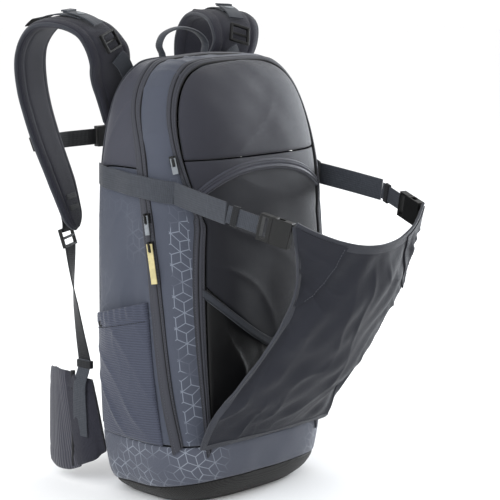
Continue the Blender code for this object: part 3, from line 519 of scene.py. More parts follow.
def knit(name, colour, pitch=0.0030, depth=0.0006, light=1.7):
    """Spacer mesh: rows of small open cells."""
    net = Net(name, colour, 0.82, 0.12)
    turn = 2 * math.pi / pitch
    cell = (net.u * turn).sin() * (net.v * turn).sin()
    # Painted shade: hole marks the open cells, which are painted dark for the shade inside them, while the yarn on
    # top takes the lighter copy of the colour.
    hole = abs(cell).step(0.25, 0.8)
    base = net.mix(hole, shade(colour, light), shade(colour, 0.35))
    base = net.mix(net.noise(18.0, 3.0) * 0.3, base, shade(colour, 1.2))
    return net, net.done(base, 1.0 - hole, depth, 0.8)


def plastic(name, colour, rough=0.42):
    """Moulded nylon with a fine spark-eroded texture and rubbed, lighter places."""
    net = Net(name, colour, rough, 0.0, 0.0, 0.25)
    rub = net.noise(90.0, 4.0).step(0.52, 0.80)
    base = net.mix(rub * 0.5, shade(colour, 0.85), shade(colour, 1.7))
    return net.done(base, net.noise(2600.0, 2.0) * 0.7 + net.noise(260.0, 2.0) * 0.3, 0.0002, 0.5, 0.16)


def gusset_print(net):
    """The printed column runs up the middle of the gusset, with gaps, and ends at the helmet strap."""
    middle = net.u.line(0.0125, 0.0010)
    return middle * (net.noise(24.0, 0.0).step(0.40, 0.44) * 0.75 + 0.15) * net.z.step(0.395, 0.37)


def side_print(net):
    return net.noise(20.0, 1.0).step(0.46, 0.66) * 0.55 * net.z.step(0.375, 0.33)


def base_print(net):
    return net.noise(15.0, 1.0).step(0.42, 0.60) * abs(net.x).step(0.060, 0.090) * 0.9


def make_finishes():
    made = {}
    for name, colour, rough, sheen, coat, print_where, line in (
            ("shell", (0.034, 0.035, 0.048), 0.50, 0.16, 0.05, None, None),
            ("lid", (0.022, 0.0225, 0.031), 0.60, 0.20, 0.0, None, None),
            ("pocket_front", (0.010, 0.0105, 0.0145), 0.60, 0.08, 0.0, None, None),
            ("lining", (0.004, 0.004, 0.0045), 0.34, 0.03, 0.15, None, None),
            ("gusset", (0.050, 0.056, 0.076), 0.62, 0.16, 0.0, gusset_print, (0.17, 0.19, 0.23)),
            ("side", (0.047, 0.053, 0.073), 0.66, 0.16, 0.0, side_print, (0.12, 0.135, 0.165)),
            ("base", (0.064, 0.070, 0.092), 0.62, 0.16, 0.0, base_print, (0.22, 0.24, 0.28)),
            # Partly painted shade: the flap is a near-black cloth, and its colour is made darker still as painted
            # shade on it.
            ("flap", (0.010, 0.011, 0.017), 0.55, 0.05, 0.0, None, None)):
        made[name] = shell_fabric(f"look_{name}", colour, rough, sheen, coat, print_where, line)
    made["grey_webbing"] = webbing("look_grey_webbing", (0.036, 0.040, 0.049))
    made["black_webbing"] = webbing("look_black_webbing", (0.008, 0.0085, 0.010))
    made["plastic"] = plastic("look_plastic", (0.006, 0.006, 0.0058))
    made["cream"] = plastic("look_cream", (0.50, 0.43, 0.22), 0.5)
    made["silver"] = plastic("look_silver", (0.20, 0.215, 0.23), 0.42)
    made["foam"] = knit("look_foam", (0.006, 0.006, 0.007))[1]
    made["strap"] = knit("look_strap", (0.018, 0.018, 0.026), 0.0026, 0.0005, 1.5)[1]

    net = Net("look_skid", (0.013, 0.0125, 0.012), 0.55, 0.08)
    grid = abs((net.x * 2100.0).sin()).step(0.2, 0.9) * abs((net.y * 2100.0).sin()).step(0.2, 0.9)
    made["skid"] = net.done(net.mix(grid * 0.6, shade(net.colour, 0.7), shade(net.colour, 1.5)), grid, 0.0006, 0.7)

    net = Net("look_stretch", (0.040, 0.045, 0.067), 0.60, 0.18)
    ribs = (net.v * (2 * math.pi / 0.0030)).sin() * 0.5 + 0.5
    base = net.mix(ribs, shade(net.colour, 0.78), shade(net.colour, 1.20))
    base = net.mix(net.noise(16.0, 3.0) * 0.35, base, shade(net.colour, 1.25))
    made["stretch"] = net.done(base, ribs + net.noise(1200.0, 1.0) * 0.3, 0.0006, 0.8)

    net = Net("look_elastic", (0.040, 0.040, 0.052), 0.66, 0.16)
    ribs = (net.v * (2 * math.pi / 0.0034)).sin() * 0.5 + 0.5
    base = net.mix(ribs, shade(net.colour, 0.74), shade(net.colour, 1.22))
    made["elastic"] = net.done(base, ribs + net.noise(900.0, 1.0) * 0.3, 0.0007, 0.8)

    net = Net("look_zip", (0.034, 0.035, 0.044), 0.60, 0.14)
    teeth = (net.v * (2 * math.pi / 0.0018)).sin() * 0.5 + 0.5
    # Painted shade: edge and other mark dark lines along the tape's two edges, painted near-black below, which
    # stand for the shade where the tape meets the fabric; the slit down the middle takes the same near-black.
    edge = (net.u - ZIP_BAND / 2).step(ZIP_BAND / 2 - 0.0016, ZIP_BAND / 2 - 0.0006)
    other = (ZIP_BAND / 2 - net.u).step(ZIP_BAND / 2 - 0.0016, ZIP_BAND / 2 - 0.0006)
    slit = (net.u - ZIP_BAND / 2).line(0.0005, 0.0003)
    base = net.mix(teeth * 0.35 + net.noise(500.0, 2.0) * 0.3, shade(net.colour, 0.86), shade(net.colour, 1.2))
    base = net.mix(edge.high(other).high(slit), base, (0.006, 0.006, 0.007))
    made["zip"] = net.done(base, teeth * 0.5 + net.noise(700.0, 1.0) * 0.3, 0.0003, 0.6)

    net = Net("look_thread", (0.062, 0.064, 0.076), 0.6, 0.15)
    made["thread"] = net.done(worn(net, 0.25), (net.z * 9000.0).sin(), 0.0001, 0.5)
    net = Net("look_dark_thread", (0.006, 0.006, 0.007), 0.6, 0.1)
    made["dark_thread"] = net.done(worn(net, 0.3), (net.z * 9000.0).sin(), 0.0001, 0.5)
    net = Net("look_binding", (0.026, 0.028, 0.036), 0.6, 0.14)
    made["binding"] = net.done(worn(net, 0.2), weave(net, 0.0014), 0.0003, 0.6)
    return made


FINISH = make_finishes()

# ---------------------------------------------------------------- the bag's panels


def band(k0, k1, r0, r1, s=1, cols=34, rows=110):
    ks, rs = np.meshgrid(spread(k0, k1, cols), spread(r0, r1, rows))
    grid = arch(ks, row_angle(ks, rs))
    grid[..., 0] *= s
    return grid


def even(values):
    """A field that falls to 0 at all four edges of a grid."""
    rows, cols = values.shape
    a = np.sin(np.pi * np.linspace(0, 1, rows)) ** 0.5
    b = np.sin(np.pi * np.linspace(0, 1, cols)) ** 0.5
    return values * a[:, None] * b[None]


def build_bag_panels():
    seam = 0.012
    for s, word in SIDES:
        grid = band(BACK_SEAM + seam, MAIN_ZIP - 0.02, 0.03, STRAP_ROW - 0.03, s)
        out = even(0.0012 * ripples(grid, 0.07, 3) + 0.0009 * creases(grid, (0.2, 1, 0.5), 0.035, 5))
        wall(f"side_fabric_{word}", grid, "side", "bag", [f"side_panel_{word}"], out)
    grid = band(BACK_SEAM + seam, MAIN_ZIP - 0.02, STRAP_ROW + 0.03, LAST_ROW - STRAP_ROW - 0.03, 1, 34, 190)
    out = even(0.0014 * ripples(grid, 0.09, 11) + 0.0012 * creases(grid, (0.3, 1, 0.4), 0.05, 12))
    wall("upper_fabric", grid, "shell", "bag", ["upper_panel"], out + 0.0004)
    grid = band(MAIN_ZIP + 0.02, FRONT_ZIP - 0.03, 0.03, LAST_ROW - 0.03, 1, 20, 300)
    puff = 0.0016 * bump_at(np.linspace(0, 1, grid.shape[1]), 0.45, 0.6)[None]
    high = np.clip((grid[..., 2] - 0.40) / 0.06, 0, 1)
    out = puff + even(0.0008 * ripples(grid, 0.06, 21) + 0.0020 * high * creases(grid, (1, 0.2, 0.3), 0.028, 22))
    u, v = arc(grid, 1), arc(grid, 0)
    uv = np.stack([u - 0.55 * u[:, -1:], np.broadcast_to(v[:, 10:11], u.shape)], -1)
    wall("gusset_fabric", grid, "gusset", "bag", ["front_gusset"], out, uv=uv)


def skid_seam(y):
    return 0.008 + 0.022 * np.clip((0.06 - y) / 0.17, 0, 1)


def base_ring(low, high, rows):
    """Rows of points round the bag between two heights, starting and ending at the middle of the back."""
    t = np.linspace(math.pi / 2, 2.5 * math.pi, 201)[None]
    c, s = np.cos(t), np.sin(t)
    level = -0.015 + 0.1 * s
    share = spread(0, 1, rows)[:, None]
    z = low(level) + (high(level) - low(level)) * share
    half_width, centre, half_depth = section(z)
    p = 2 / power_at(np.broadcast_to(s, z.shape))
    x = half_width * np.sign(c) * np.abs(c) ** p
    y = centre + half_depth * np.sign(s) * np.abs(s) ** p
    return np.stack([x, y, z], -1)


def build_base():
    grid = base_ring(lambda y: skid_seam(y) + 0.0006, lambda y: 0 * y + BASE_SEAM - 0.0006, 22)
    out = 0.0007 * ripples(grid, 0.05, 31) * np.sin(np.pi * np.linspace(0, 1, len(grid)))[:, None] ** 0.5
    wall("base_fabric", grid, "base", "bag", ["base_panel"], out + 0.0002)
    grid = base_ring(lambda y: 0 * y, lambda y: skid_seam(y) - 0.0006, 8)
    centre = np.array([0.0, -0.022, 0.0])
    shares = np.linspace(0.03, 0.97, 14)[:, None, None]
    floor = centre + (grid[:1] - centre) * shares
    grid = np.vstack([floor, grid])
    wall("skid_fabric", grid, "skid", "bag", ["base_skid_panel"], 0.0, roll=0.0008)


def front_area(low, high, rows, cols=60):
    """A grid of the front face between two heights that depend on the share of the half width."""
    s = spread(-1, 1, cols)[None]
    t = spread(0, 1, rows)[:, None]
    z = low(s) + (high(s) - low(s)) * t
    x = s * side(FRONT_ZIP, z, 1)[..., 0] * 0.992
    return face(x, z, -1)


ARCH_HIGH, ARCH_DROP = 0.4005, 0.030  # the lower pocket's arched seam: its middle, and how far its ends drop


def pocket_arch(s):
    return ARCH_HIGH - ARCH_DROP * np.abs(s) ** 2.3


def mouth_line(s):
    return 0.188 + 0.062 * np.abs(s * 1.2) ** 1.2


def lid_edge(s):
    return 0.4107 + 0 * s


def build_front():
    """The stowage lining, the front pocket with its arched seam, and the lid."""
    grid = front_area(lambda s: 0 * s + BASE_SEAM + 0.0006, mouth_line, 50)
    s = np.abs(grid[..., 0]) / 0.105
    out = even(0.0015 * ripples(grid, 0.05, 41) + 0.0022 * creases(grid, (1, 0, 0.35), 0.035, 42) * (s < 1.1))
    wall("stowage_lining", grid, "lining", "bag", ["front_panel"], out)
    grid = front_area(lambda s: mouth_line(s) + 0.001, lambda s: pocket_arch(s) - 0.001, 70)
    out = even(0.0030 + 0.0012 * ripples(grid, 0.08, 43) + 0.0012 * creases(grid, (0.8, 0, 1), 0.06, 44))
    wall("front_pocket", grid, "pocket_front", "bag", (), out)
    grid = front_area(lambda s: pocket_arch(s) + 0.001, lid_edge, 14)
    wall("front_strip", grid, "lid", "bag", (), even(0.0008 + 0 * grid[..., 0]), roll=0.0008)

    s = np.linspace(-1, 1, 90)
    rows = np.linspace(-0.0065, 0.0065, 11)
    z = pocket_arch(s)[None] + rows[:, None]
    grid = face(s[None] * side(FRONT_ZIP, pocket_arch(s), 1)[None, :, 0] * 0.985, z, -1)
    lift = 0.0030 * np.sqrt(np.clip(1 - (np.abs(rows) / 0.0066) ** 4, 0, 1)) - 0.0012 * bump_at(rows, 0.0, 0.0016)
    wall("pocket_arch_band", grid, "shell", "bag", (), lift[:, None] + 0 * z, roll=0)
    n = normals(grid)
    row = [(grid[i] + n[i] * 0.0029, n[i]) for i in (2, 8)]
    stitches("pocket_arch_stitches", row, "dark_thread", "bag")

    rs = spread(LID_ROW + 0.05, 21.5, 60)
    edge = arch(FRONT_ZIP, row_angle(FRONT_ZIP, rs))
    share = spread(-1, 1, 64)
    grid = face(edge[:, None, 0] * share[None] * 0.992, edge[:, None, 2] + 0 * share[None], -1)
    out = 0.0042 + 0.0012 * ripples(grid, 0.10, 45) + 0.0012 * creases(grid, (1, 0, -0.8), 0.060, 46)
    out = even(out + 0.0003 * ripples(grid, 0.04, 47))
    wall("lid_fabric", grid, "lid", "lid", ["front_lid"], out)


def build_back():
    rs = spread(0, 21, 90)
    edge = arch(BACK_SEAM, row_angle(BACK_SEAM, rs))
    share = spread(-1, 1, 60)
    grid = face(edge[:, None, 0] * share[None] * 0.992, edge[:, None, 2] + 0 * share[None], 1)
    out = even(0.0006 * ripples(grid, 0.06, 51))
    wall("back_fabric", grid, "foam", "bag", ["back_panel"], out)
    base_line = face(np.linspace(-0.116, 0.116, 80), BASE_SEAM, 1)
    tube("back_base_piping", base_line, 0.0017, "foam", "bag")
    path = arch(BACK_SEAM + 0.004, row_angle(BACK_SEAM, np.linspace(0.1, LAST_ROW - 0.1, 220)))
    n = unit(path - [0, 0.0, ARCH_CENTRE])
    tube("back_piping", path + n * 0.0006, 0.0019, "binding", "bag")


def strip_grid(k, offsets, rows):
    """Points on a strip along seam k at offsets across it in metres."""
    rs = np.linspace(0, LAST_ROW, rows)
    angle = row_angle(k, rs)
    reach = 0.02 / np.maximum(np.linalg.norm(arch(k - 0.01, angle) - arch(k + 0.01, angle), axis=-1), 1e-4)
    return arch(k + offsets[None] * reach[:, None], angle[:, None])


def build_zip_bands():
    half = ZIP_BAND / 2
    w = np.array([-1, -0.97, -0.90, -0.80, -0.70, -0.64, -0.58, -0.40, -0.20, -0.09, -0.03])
    w = np.r_[w, -w[::-1]] * half
    height = 0.0029 * np.sqrt(np.clip(1 - np.abs(w / half) ** 8, 0, 1))
    height -= 0.0006 * bump_at(np.abs(w), 0.0058, 0.0012) + 0.0016 * bump_at(w, 0.0, 0.0012)
    height += 0.0004 * bump_at(np.abs(w), 0.0030, 0.0028)
    for k, shift, name in ((MAIN_ZIP, 0.0, "main_zip"), (FRONT_ZIP, -half - 0.0014, "front_zip")):
        grid = strip_grid(k, w + shift, 420)
        flat = np.stack([np.broadcast_to(w + half, grid.shape[:2]), arc(grid, 0)], -1)
        wall(f"{name}_tape", grid, "zip", "bag", [f"{name}_band"],
             np.broadcast_to(height, grid.shape[:2]), roll=0, thick=0.0, uv=flat)
        n = normals(grid)
        rows = [(grid[:, i] + n[:, i] * (height[i] + 0.0001), n[:, i]) for i in (5, 16)]
        stitches(f"{name}_stitches", rows, "thread", "bag")


def build_side_pockets():
    for s, word in SIDES:
        cols, rows = 60, 64
        share = np.linspace(0, 1, cols)[None]
        t = spread(0, 1, rows)[:, None]
        top = 0.220 + 0.026 * share
        z = BASE_SEAM + 0.001 + (top - BASE_SEAM - 0.001) * t
        grid = side(0.115 + 0.745 * share + 0 * z, z, s)
        bulge = 0.0026 + 0.0125 * np.sin(np.pi * share) ** 0.7 * t**0.45
        slack = np.sin(np.pi * share) ** 0.5 * np.clip(t * 4, 0, 1) * (1 - 0.55 * t)
        fold = creases(grid, (0, -0.75, 0.65), 0.034, 61, 0.9, 2.2) * 0.0042
        fold += creases(grid, (0, -1.0, -0.15), 0.018, 62, 0.8, 2.5) * 0.0016 * t
        out = bulge + (fold - 0.0012) * slack
        hem = np.clip((t - 0.90) / 0.02, 0, 1)
        out = out + hem * 0.0008 + 0.0006 * hem * np.sin(share * 60)
        wall(f"side_pocket_fabric_{word}", grid, "stretch", "bag", [f"side_pocket_{word}"], out,
             roll=0.0012, reach=0.003, thick=-0.0006)
        n = normals(grid)
        i = int(rows * 0.90)
        path = grid[i] + n[i] * (out[i] + 0.0002)[:, None]
        stitches(f"side_pocket_stitches_{word}", [(path, n[i])], "dark_thread", "bag")
        c = grid[int(rows * 0.93), 12] + n[int(rows * 0.93), 12] * (out[int(rows * 0.93), 12] + 0.0004)
        ring = [c + 0.0030 * np.array([0, math.cos(a), math.sin(a)]) for a in np.linspace(0, 2 * math.pi, 21)]
        tube(f"pocket_eyelet_{word}", ring, 0.0008, "plastic", "bag")


def build_stowage_mouth():
    s = np.linspace(-1, 1, 80)
    rows = np.linspace(-0.006, 0.006, 9)
    z = 0.188 + 0.062 * np.abs(s * 1.16)[None] ** 1.2 + rows[:, None]
    grid = face(s[None] * 0.088 * 1.16 + 0 * z, z, -1)
    lift = 0.0028 * np.sqrt(np.clip(1 - (np.abs(rows) / 0.0061) ** 6, 0, 1))
    wall("stowage_binding", grid, "grey_webbing", "bag", ["stowage_mouth"], lift[:, None] + 0 * z,
         roll=0, thick=0.0)
    n = normals(grid)
    rows = [(grid[i] + n[i] * 0.0028, n[i]) for i in (1, 7)]
    stitches("stowage_stitches", rows, "dark_thread", "bag")


# ---------------------------------------------------------------- pads


def build_back_pads():
    """Ribbed back cushions and the lumbar cushion."""
    for s, word in SIDES:
        z = np.linspace(0.192, 0.408, 150)
        x = np.linspace(0.016, 0.094, 44)
        grid = face(s * x[None] + 0 * z[:, None], z[:, None] + 0 * x[None], 1)
        tall = np.interp(z, (0.19, 0.22, 0.28, 0.328, 0.360, 0.408), (0.008, 0.011, 0.015, 0.011, 0.016, 0.008))
        phase = np.mod(z - 0.192, 0.036)
        block = np.sqrt(np.clip(1 - ((phase - 0.015) / 0.0155) ** 4, 0, 1))
        t = np.clip((x - 0.016) / 0.078, 0, 1)
        edge = np.clip(1 - np.abs(2 * t - 1) ** 3.5, 0, 1) ** 0.5
        out = 0.0010 + (tall * block * 0.92)[:, None] * edge[None] + 0.0022 * edge[None]
        pad = wall(f"back_cushion_{word}", grid, "foam", "bag", [f"back_pad_{word}"], out, roll=0,
                   thick=-0.0006)
    z, x = np.linspace(0.088, 0.184, 60), np.linspace(-0.098, 0.098, 110)
    grid = face(x[None] + 0 * z[:, None], z[:, None] + 0 * x[None], 1)
    rise = np.clip(1 - np.abs((z - 0.136) / 0.0485) ** 3.5, 0, 1) ** 0.5
    wide = np.clip(1 - np.abs(x / 0.0985) ** 6, 0, 1) ** 0.5 - 0.42 * bump_at(x, 0, 0.016)
    groove = 1 - 0.25 * bump_at(z, 0.136, 0.005)[:, None] * (np.abs(x) < 0.080)[None]
    out = 0.0006 + 0.0205 * rise[:, None] * wide[None] * groove
    pad = wall("lumbar_cushion", grid, "foam", "bag", ["lumbar_pad"], out, roll=0, thick=-0.0002)


STRAP_PATH = [
    (-0.072, 0.0675, 0.448), (-0.088, 0.0630, 0.492), (-0.104, 0.0520, 0.528), (-0.115, 0.0630, 0.5535),
    (-0.127, 0.092, 0.5645), (-0.136, 0.127, 0.5595), (-0.141, 0.150, 0.530), (-0.141, 0.150, 0.485),
    (-0.137, 0.134, 0.430), (-0.129, 0.110, 0.368), (-0.120, 0.097, 0.314),
]
LIFTER_SHARE, STERNUM_SHARE = 0.215, 0.75
STRAP_FACE = STRAP_THICK * 0.56  # how far the crowned face stands off the strap's centre line
STRAP_WIDTHS = [0.050, 0.058, 0.068, 0.072, 0.070, 0.066, 0.060, 0.052, 0.030]
STRAP_ACROSS = [(1, 0.05, 0), (1, 0.1, 0), (1, 0.25, 0.05), (1, 0.4, 0.1), (1, 0.42, 0.05), (1, 0.35, 0),
                (1, 0.3, 0)]
FINE = 401


def strap_frame(s):
    """The whole strap's centre line, direction, outward normal and width direction."""
    path = smooth(STRAP_PATH, FINE)
    t, w, h = frames(path, STRAP_ACROSS)
    flip = np.array([-s, 1, 1])
    return path * flip, t * flip, -h * flip, w * flip


def strap_run(s, a, b, count, proud):
    """Points over the strap between two shares of its length."""
    path, t, out, w = strap_frame(s)
    at = np.linspace(a, b, count) * (FINE - 1)
    place, t, out, w = (pick(at, range(FINE), v) for v in (path, t, out, w))
    return place + out * proud, t, out, w


def pad_profile():
    """A cushion's cross-section: crowned faces that pinch in at a welt along each edge."""
    u = np.r_[-1, -0.985, -0.95, -0.88, -0.78, -0.70, -0.66, -0.62, -0.50, -0.30, -0.10]
    u = np.r_[u, -u[::-1]]
    v = np.clip(1 - np.abs(u) ** 5, 0, 1) ** 0.6 * 0.42 + 0.12 * (np.abs(u) < 0.999)
    v -= 0.10 * bump_at(np.abs(u), 0.66, 0.07)
    top = list(zip(u * 0.5, -v))
    return top + [(-a, -b) for a, b in top]


def build_harness():
    """Shoulder straps with their piping, webbing rails, loops and load lifter tails."""
    for s, word in SIDES:
        flip = np.array([-s, 1, 1])
        path = smooth(STRAP_PATH, 160) * flip

        def rounded(t, u, v):
            tip = np.sqrt(np.clip(1 - np.clip((t - 0.955) / 0.0452, 0, 1) ** 2, 0.02, 1))
            return u * tip, v * (0.35 + 0.65 * tip)

        across = np.array(STRAP_ACROSS) * flip
        pad = sweep(f"shoulder_cushion_{word}", path, across, STRAP_WIDTHS, STRAP_THICK, "strap", "harness",
                    [f"shoulder_pad_{word}"], pad_profile(), 60, rounded)
        width = along(STRAP_WIDTHS, 160) / 2
        _, w, _ = frames(path, across)
        tip = np.sqrt(np.clip(1 - np.clip((np.linspace(0, 1, 160) - 0.955) / 0.0452, 0, 1) ** 2, 0, 1))
        left = path - w * (width * tip)[:, None]
        right = path + w * (width * tip)[:, None]
        tube(f"strap_piping_{word}", np.vstack([left[2:], right[2:-1][::-1]]), 0.0021, "binding", "harness")

        top = STRAP_FACE + 0.0020
        line, _, out, w = strap_run(s, 0.30, 0.90, 120, top)
        sweep(f"rail_webbing_{word}", line, w, WEBBING, THIN, "grey_webbing", "harness",
              nodes=[f"strap_rail_{word}"])
        for n, share in enumerate((0.312, 0.47, 0.60, 0.80, 0.888)):
            line, _, out, w = strap_run(s, share - 0.002, share + 0.002, 3, top + 0.0010)
            rows = []
            for j in np.linspace(-0.0040, 0.0040, 3):
                a = line[1] + (line[2] - line[0]) * j * 60 * 0.25
                rows.append((np.array([a - w[1] * 0.009, a + w[1] * 0.009]), np.array([out[1], out[1]])))
            stitches(f"rail_bar_tack_{word}_{n}", rows, "dark_thread", "harness",
                     0.0014, 0.0013, 0.0010)
        back = -STRAP_THICK * 0.50 - 0.0006
        half_moon = [0.004, 0.010, 0.012, 0.010, 0.004]
        for name, a, b, count, proud, wide, thick, finish, slot in (
                ("hose_loop_{}", 0.415, 0.440, 9, top + 0.0018, 0.046, 0.0014, "black_webbing", None),
                ("strap_slot_{}_0", 0.905, 0.919, 8, back, WEBBING, THIN, "black_webbing", None),
                ("strap_slot_{}_1", 0.935, 0.949, 8, back, WEBBING, THIN, "black_webbing", None),
                ("lifter_tail_{}", 0.262, 0.345, 30, top + 0.0030, WEBBING, THIN, "grey_webbing", None),
                ("lifter_tail_fold_{}", 0.333, 0.350, 8, top + 0.0048, WEBBING, 0.0022, "grey_webbing", None),
                ("lifter_tab_{}", 0.302, 0.318, 10, top + 0.0044, half_moon, 0.0008, "silver", "silver_tab")):
            line, _, _, w = strap_run(s, a, b, count, proud)
            sweep(name.format(word), line, w, wide, thick, finish, "harness")


def build_crossing_webbing():
    """Webbing between the bag and the harness."""
    for s, word in SIDES:
        place, t, out, _ = (v[0] for v in strap_run(s, LIFTER_SHARE, LIFTER_SHARE, 1, 0.0))
        lift = STRAP_FACE + 0.0030
        start = face(s * 0.078, 0.500, 1) + [0, 0.0020, 0.0020]
        end = place + out * (lift + 0.0018) - t * 0.0172
        middle = (start + end) / 2 + [0, 0, 0.003]
        obj = sweep(f"lifter_webbing_{word}", smooth([start, middle, end], 40), [(1, 0, 0)] * 2, WEBBING, THIN,
                    "grey_webbing", None, nodes=[f"load_lifter_webbing_{word}"])
        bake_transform(obj)

        path, tangents, outs, _ = strap_frame(s)
        i = int(0.99 * (FINE - 1))
        lock = path[i] + tangents[i] * 0.0120 + outs[i] * 0.0130
        low = np.array([s * 0.1310, 0.0700, 0.150])
        high = lock + tangents[i] * 0.0100 + outs[i] * 0.0020
        j = int(0.93 * (FINE - 1))
        stub = [path[j] + outs[j] * 0.0068, path[i] - tangents[i] * 0.006 + outs[i] * 0.0090,
                lock - tangents[i] * 0.0070]
        sweep(f"adjuster_webbing_{word}", smooth(stub, 24), [(1, -0.2 * s, 0)] * 2, WEBBING, SIDE_THIN,
              "black_webbing", "harness")
        route = [high, high + (low - high) * 0.35 + [0, 0.004, 0], high + (low - high) * 0.7 + [0, 0.003, 0], low]
        across = [(1, -0.2 * s, 0), (0.4, -0.9 * s, 0), (-0.1, -s, 0)]
        obj = sweep(f"lower_strap_{word}", smooth(route, 90), across, WEBBING, THIN, "black_webbing", None,
                    nodes=[f"lower_webbing_{word}"])
        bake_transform(obj)


def build_sternum():
    """The two halves of the chest webbing, from the clips to the buckle."""
    ends = {}
    for s, word in SIDES:
        place, t, out, _ = (v[0] for v in strap_run(s, STERNUM_SHARE, STERNUM_SHARE, 1, 0.0))
        clip = place + out * (STRAP_FACE + 0.0012 + 0.0016 + 0.0008)
        ends[s] = (clip + out * 0.0076, t)
    y, z = ends[1][0][1], ends[1][0][2]
    for s, word, inner in ((-1, "left", -0.0295), (1, "right", 0.0135)):
        outer, t = ends[s]
        path = [outer - [s * 0.004, 0, 0], (s * 0.088, y + 0.0165, z), (s * 0.060, y + 0.0190, z),
                (inner, y + 0.0190, z)]
        sweep(f"chest_webbing_{word}", smooth(path, 50), [-t, (0, 0, 1), (0, 0, 1), (0, 0, 1)], WEBBING, THIN,
              "black_webbing", "sternum_strap", nodes=[f"sternum_webbing_{word}"])


def build_haul_loop():
    path = [(-0.0345, 0.0315, 0.5145), (-0.035, 0.0320, 0.5243), (-0.038, 0.034, 0.536), (-0.026, 0.037, 0.549),
            (0, 0.038, 0.555)]
    path += [(-p[0], p[1], p[2]) for p in reversed(path[:-1])]
    prof = [(0.5 * math.cos(a), 0.62 * math.sin(a)) for a in np.linspace(0, 2 * math.pi, 14, endpoint=False)]
    sweep("haul_webbing", smooth(path, 90), [(0, 1, 0)] * 2, 0.012, 0.0030, "grey_webbing", "grab_handle",
          ["haul_loop"], prof, 80)


def build_hip_wings():
    """Hip wings: a padded root, an elastic band and the webbing that comes down to them."""
    root = [(0.1238, 0.0538, 0.088), (0.1300, 0.0625, 0.086), (0.1345, 0.074, 0.083), (0.1360, 0.0890, 0.0805)]
    end = [(0.1363, 0.0862, 0.0805), (0.1375, 0.106, 0.077), (0.1355, 0.122, 0.076), (0.1300, 0.138, 0.077)]
    for s, word in SIDES:
        body = f"hip_wing_{word}"
        flip = np.array([s, 1, 1])
        pad = sweep(f"wing_cushion_{word}", smooth(root, 26) * flip, UPRIGHT, [0.092, 0.108, 0.120], 0.0095,
                    "strap", body, [f"hip_wing_root_{word}"], pad_profile(), 60)

        def cut(t, u, v):
            return u * (1 - 0.05 * t), v * (0.85 + 0.15 * np.abs(np.sin(9 * t)))

        sweep(f"wing_elastic_{word}", smooth(end, 60) * flip, UPRIGHT, [0.120, 0.130, 0.134, 0.130], 0.0058,
              "elastic", body, [f"hip_wing_band_{word}"], pad_profile(), 60, cut)
        x, y, z = 0.1363 * s, 0.0878, 0.0805
        line = [(x, y, z + 0.0605), (x + 0.001 * s, y - 0.0015, z + 0.03), (x + 0.001 * s, y - 0.002, z),
                (x + 0.001 * s, y - 0.0010, z - 0.03), (x, y + 0.0010, z - 0.0600)]
        tube(f"wing_seam_{word}", smooth(line, 50), 0.0030, "dark_thread", body)
        x = 0.1385 * s
        top = [(0.1325 * s, 0.0700, 0.157), (0.1337 * s, 0.0700, 0.146), (x + 0.0012 * s, 0.0712, 0.125),
               (x + 0.0005 * s, 0.0722, 0.095), (x, 0.0725, 0.062)]
        tab = sweep(f"wing_tab_{word}", smooth(top, 40), [(-0.1, -s, 0)] * 2, [0.019, 0.020, 0.022, 0.024],
                    SIDE_THIN, "grey_webbing", None)
        loop = [(0.1316 * s, 0.0700, 0.147), (0.1316 * s, 0.0700, 0.151), (0.1316 * s, 0.0700, 0.156)]
        sweep(f"webbing_loop_{word}", loop, [(-0.1, -s, 0)] * 2, 0.0235, 0.0062, "black_webbing", "bag")
        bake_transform(tab)


# ---------------------------------------------------------------- helmet carrier

KEEPER = np.array([0.1310, -0.1760, 0.3640])
MOUTH = np.array([0.1150, -0.2320, 0.3500])
FLAP_ROWS = [
    (0.1060, -0.1230, 0.0800, -0.1110, 0.0770), (0.1050, -0.1480, 0.1000, -0.1300, 0.1130),
    (0.1010, -0.1880, 0.1330, -0.1650, 0.1560), (0.0950, -0.2280, 0.1750, -0.2020, 0.2030),
    (0.0900, -0.2600, 0.2240, -0.2330, 0.2500), (0.0900, -0.2800, 0.2650, -0.2470, 0.2860),
    (0.0985, -0.2880, 0.3000, -0.2560, 0.3220), (0.1078, -0.2900, 0.3220, -0.2600, 0.3560),
]


